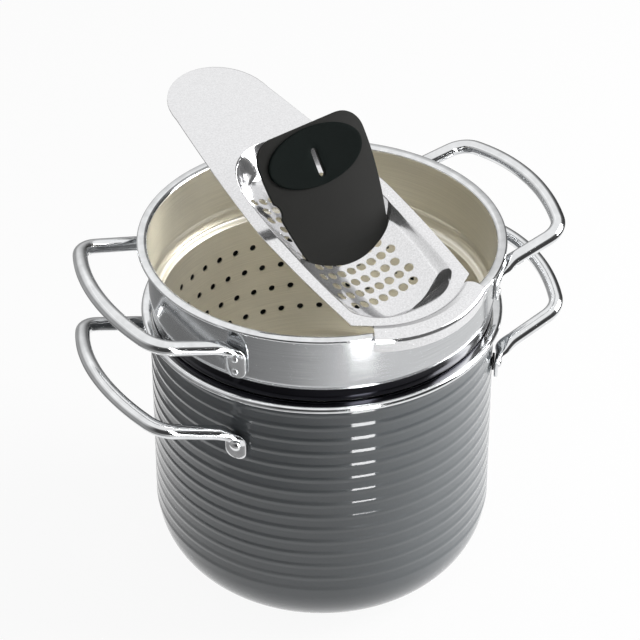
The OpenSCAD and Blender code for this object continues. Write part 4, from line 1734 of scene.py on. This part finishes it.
@dataclass
class Studio:
    """Pale floor, soft lamps, white surroundings, a dark screen, a bright strip and the camera.

    Args:
        eye: Where the camera stands, in metres.
        target: Where it is turned to, in metres.
        lens: Its focal length, in mm.
        floor_half: Half the floor's side, in metres.
        floor_white: Share of the floor that shows as plain white.
        far_at: Distances between which the screen turns from near to far, in metres.
        screen_r: Distance of the screen's upright part, in metres.
        screen_h: Its height, in metres.
        lamps: The lamps.
    """

    eye: tuple[float, float, float] = (-0.5242, -1.0156, 1.0055)
    target: tuple[float, float, float] = (-0.0012, 0.0006, 0.1925)
    lens: float = 113.4
    floor_half: float = 3.0
    floor_white: float = 0.93
    far_at: tuple[float, float] = (0.48, 0.62)
    screen_r: float = 2.3
    screen_h: float = 1.9
    lamps: tuple[Softbox, ...] = (
        Softbox("lamp_over", (0.4, 0.1, 1.9), (2.4, 2.4), 13.0, seen=False),
        Softbox("lamp_right", (1.6, -0.6, 0.8), (1.0, 1.4), 50.0))

    def floor(self) -> None:
        """Lay the pale floor, which stays nearly white to the eye and keeps the shadow."""
        h = self.floor_half
        floor = plain("floor", [(-h, -h, 0), (h, -h, 0), (h, h, 0), (-h, h, 0)], [(0, 1, 2, 3)])
        material, bench = blank("floor_white")
        matt = bench.add("ShaderNodeBsdfDiffuse", {"Color": (0.82, 0.82, 0.82, 1)})
        glow = bench.add("ShaderNodeEmission", {"Color": (1, 1, 1, 1), "Strength": 1.0})
        bench.add("ShaderNodeOutputMaterial", {"Surface": bench.add("ShaderNodeMixShader", {
            0: self.seen(bench) * self.floor_white, 1: matt, 2: glow})})
        floor.data.materials.append(material)

    @staticmethod
    def seen(bench: Bench) -> Wire:
        """Tell rays that show the white surroundings from rays that only light the object.

        Args:
            bench: Bench of the tree that asks.

        Returns:
            1 for a ray from the eye, from a mirror or through glass, and 0 for others.
        """
        path = bench.add("ShaderNodeLightPath").outputs
        eye, mirror, glass = (Wire(bench, path[f"Is {kind} Ray"])
                              for kind in ("Camera", "Glossy", "Transmission"))
        return bench.calc("MAXIMUM", eye, bench.calc("MAXIMUM", mirror, glass))

    @staticmethod
    def standing(name: str, section: Outline, first: float,
                 last: float) -> tuple[Bench, bpy.types.NodeSocket]:
        """Stand a curved, glowing sheet about the object that only mirrors show.

        Args:
            name: Its name.
            section: Distance from the middle and height along the sheet, in metres.
            first: Its first side seen from above, in degrees.
            last: Its last side, in degrees.

        Returns:
            The bench of its material and the colour socket of its glow.
        """
        count = max(8, round((last - first) / 4))
        angles = np.radians(np.linspace(first, last, count + 1))
        sheet = plain(name, [(r * math.cos(a), r * math.sin(a), z) for r, z in section for a in angles],
                      woven(len(section), count + 1, closed=False))
        material, bench = blank(name)
        material.cycles.emission_sampling = "NONE"
        glow = bench.add("ShaderNodeEmission", {"Strength": 1.0})
        bench.add("ShaderNodeOutputMaterial", {"Surface": glow})
        sheet.data.materials.append(material)
        sheet.visible_camera = sheet.visible_shadow = sheet.visible_diffuse = False
        return bench, glow.inputs["Color"]

    def screen(self) -> None:
        """Stand a round screen about the object, black low down and lighter to the right and back."""
        low, (near_r, far_r) = 0.004, self.far_at
        section = [(0.28, low), (0.5, low), (far_r, low), (self.screen_r, low),
                   (self.screen_r, self.screen_h)]
        bench, colour = self.standing("screen", section, 0, 360)
        x, y, z = bench.axes(bench.here())
        away = bench.away(x, y)

        def facing(degrees: float) -> Wire:
            """1 towards a side seen from above and 0 away from it."""
            a = math.radians(degrees)
            return (x * math.cos(a) + y * math.sin(a)) / away * 0.5 + 0.5

        def greys(factor: Wire, *stops: tuple[float, float]) -> Wire:
            """A ramp between grey levels."""
            return bench.ramp(factor, [(at, (v, v, v)) for at, v in stops])

        up = z / self.screen_h
        near = greys(facing(-35), (0, 0.24), (0.2, 0.3), (0.4, 0.42), (0.67, 0.85), (1, 1.0))
        far = greys(up, (0, 0.06), (0.45, 0.05), (0.75, 0.15), (1, 0.5))
        back = greys(facing(125), (0.45, 0), (0.9, 1)) * greys(up, (0, 0.32), (0.2, 0.3), (0.5, 0.75))
        share = bench.out("ShaderNodeMapRange", {"Value": away, "From Min": near_r, "From Max": far_r})
        bench.feed(colour, near * bench.calc("SUBTRACT", 1.0, share) + (far + back) * share)

    def strip(self) -> None:
        """Stand the bright strip that lights up on each ridge and on the neck."""
        _, colour = self.standing("strip", [(0.48, 0.005), (0.61, 0.005), (0.61, 0.6)], -101, -88)
        colour.default_value = (16, 16, 16, 1)

    def world(self) -> None:
        """Light the surroundings softly, and show them white."""
        world = bpy.data.worlds.new("studio")
        bpy.context.scene.world = world
        world.use_nodes = True
        world.node_tree.nodes.clear()
        bench = Bench(world.node_tree)
        soft, white = (bench.add("ShaderNodeBackground", {"Color": (1, 1, 1, 1), "Strength": strength})
                       for strength in (0.16, 1.0))
        bench.add("ShaderNodeOutputWorld", {"Surface": bench.add("ShaderNodeMixShader", {
            0: self.seen(bench), 1: soft, 2: white})})

    def camera(self) -> None:
        """Stand the camera where the picture was taken from."""
        data = bpy.data.cameras.new("camera")
        data.lens, data.sensor_width, data.sensor_fit = self.lens, 36.0, "HORIZONTAL"
        camera = placed("camera", data)
        aimed(camera, self.eye, self.target)
        bpy.context.scene.camera = camera

    def build(self) -> None:
        """Build the whole studio."""
        bpy.context.scene.view_settings.view_transform = "Standard"
        self.floor()
        self.world()
        for lamp in self.lamps:
            lamp.build()
        self.screen()
        self.strip()
        self.camera()


def main() -> None:
    """Build the studio, the finishes and every sub-assembly in order."""
    logging.basicConfig(level=logging.INFO, format="%(message)s")
    Studio().build()
    finishes = Finishes.make()
    Pot().build(finishes)
    Insert().build(finishes)
    chute = Chute()
    chute.build(finishes.chute)
    Scraper(chute).build(finishes)


if __name__ == "__main__":
    main()
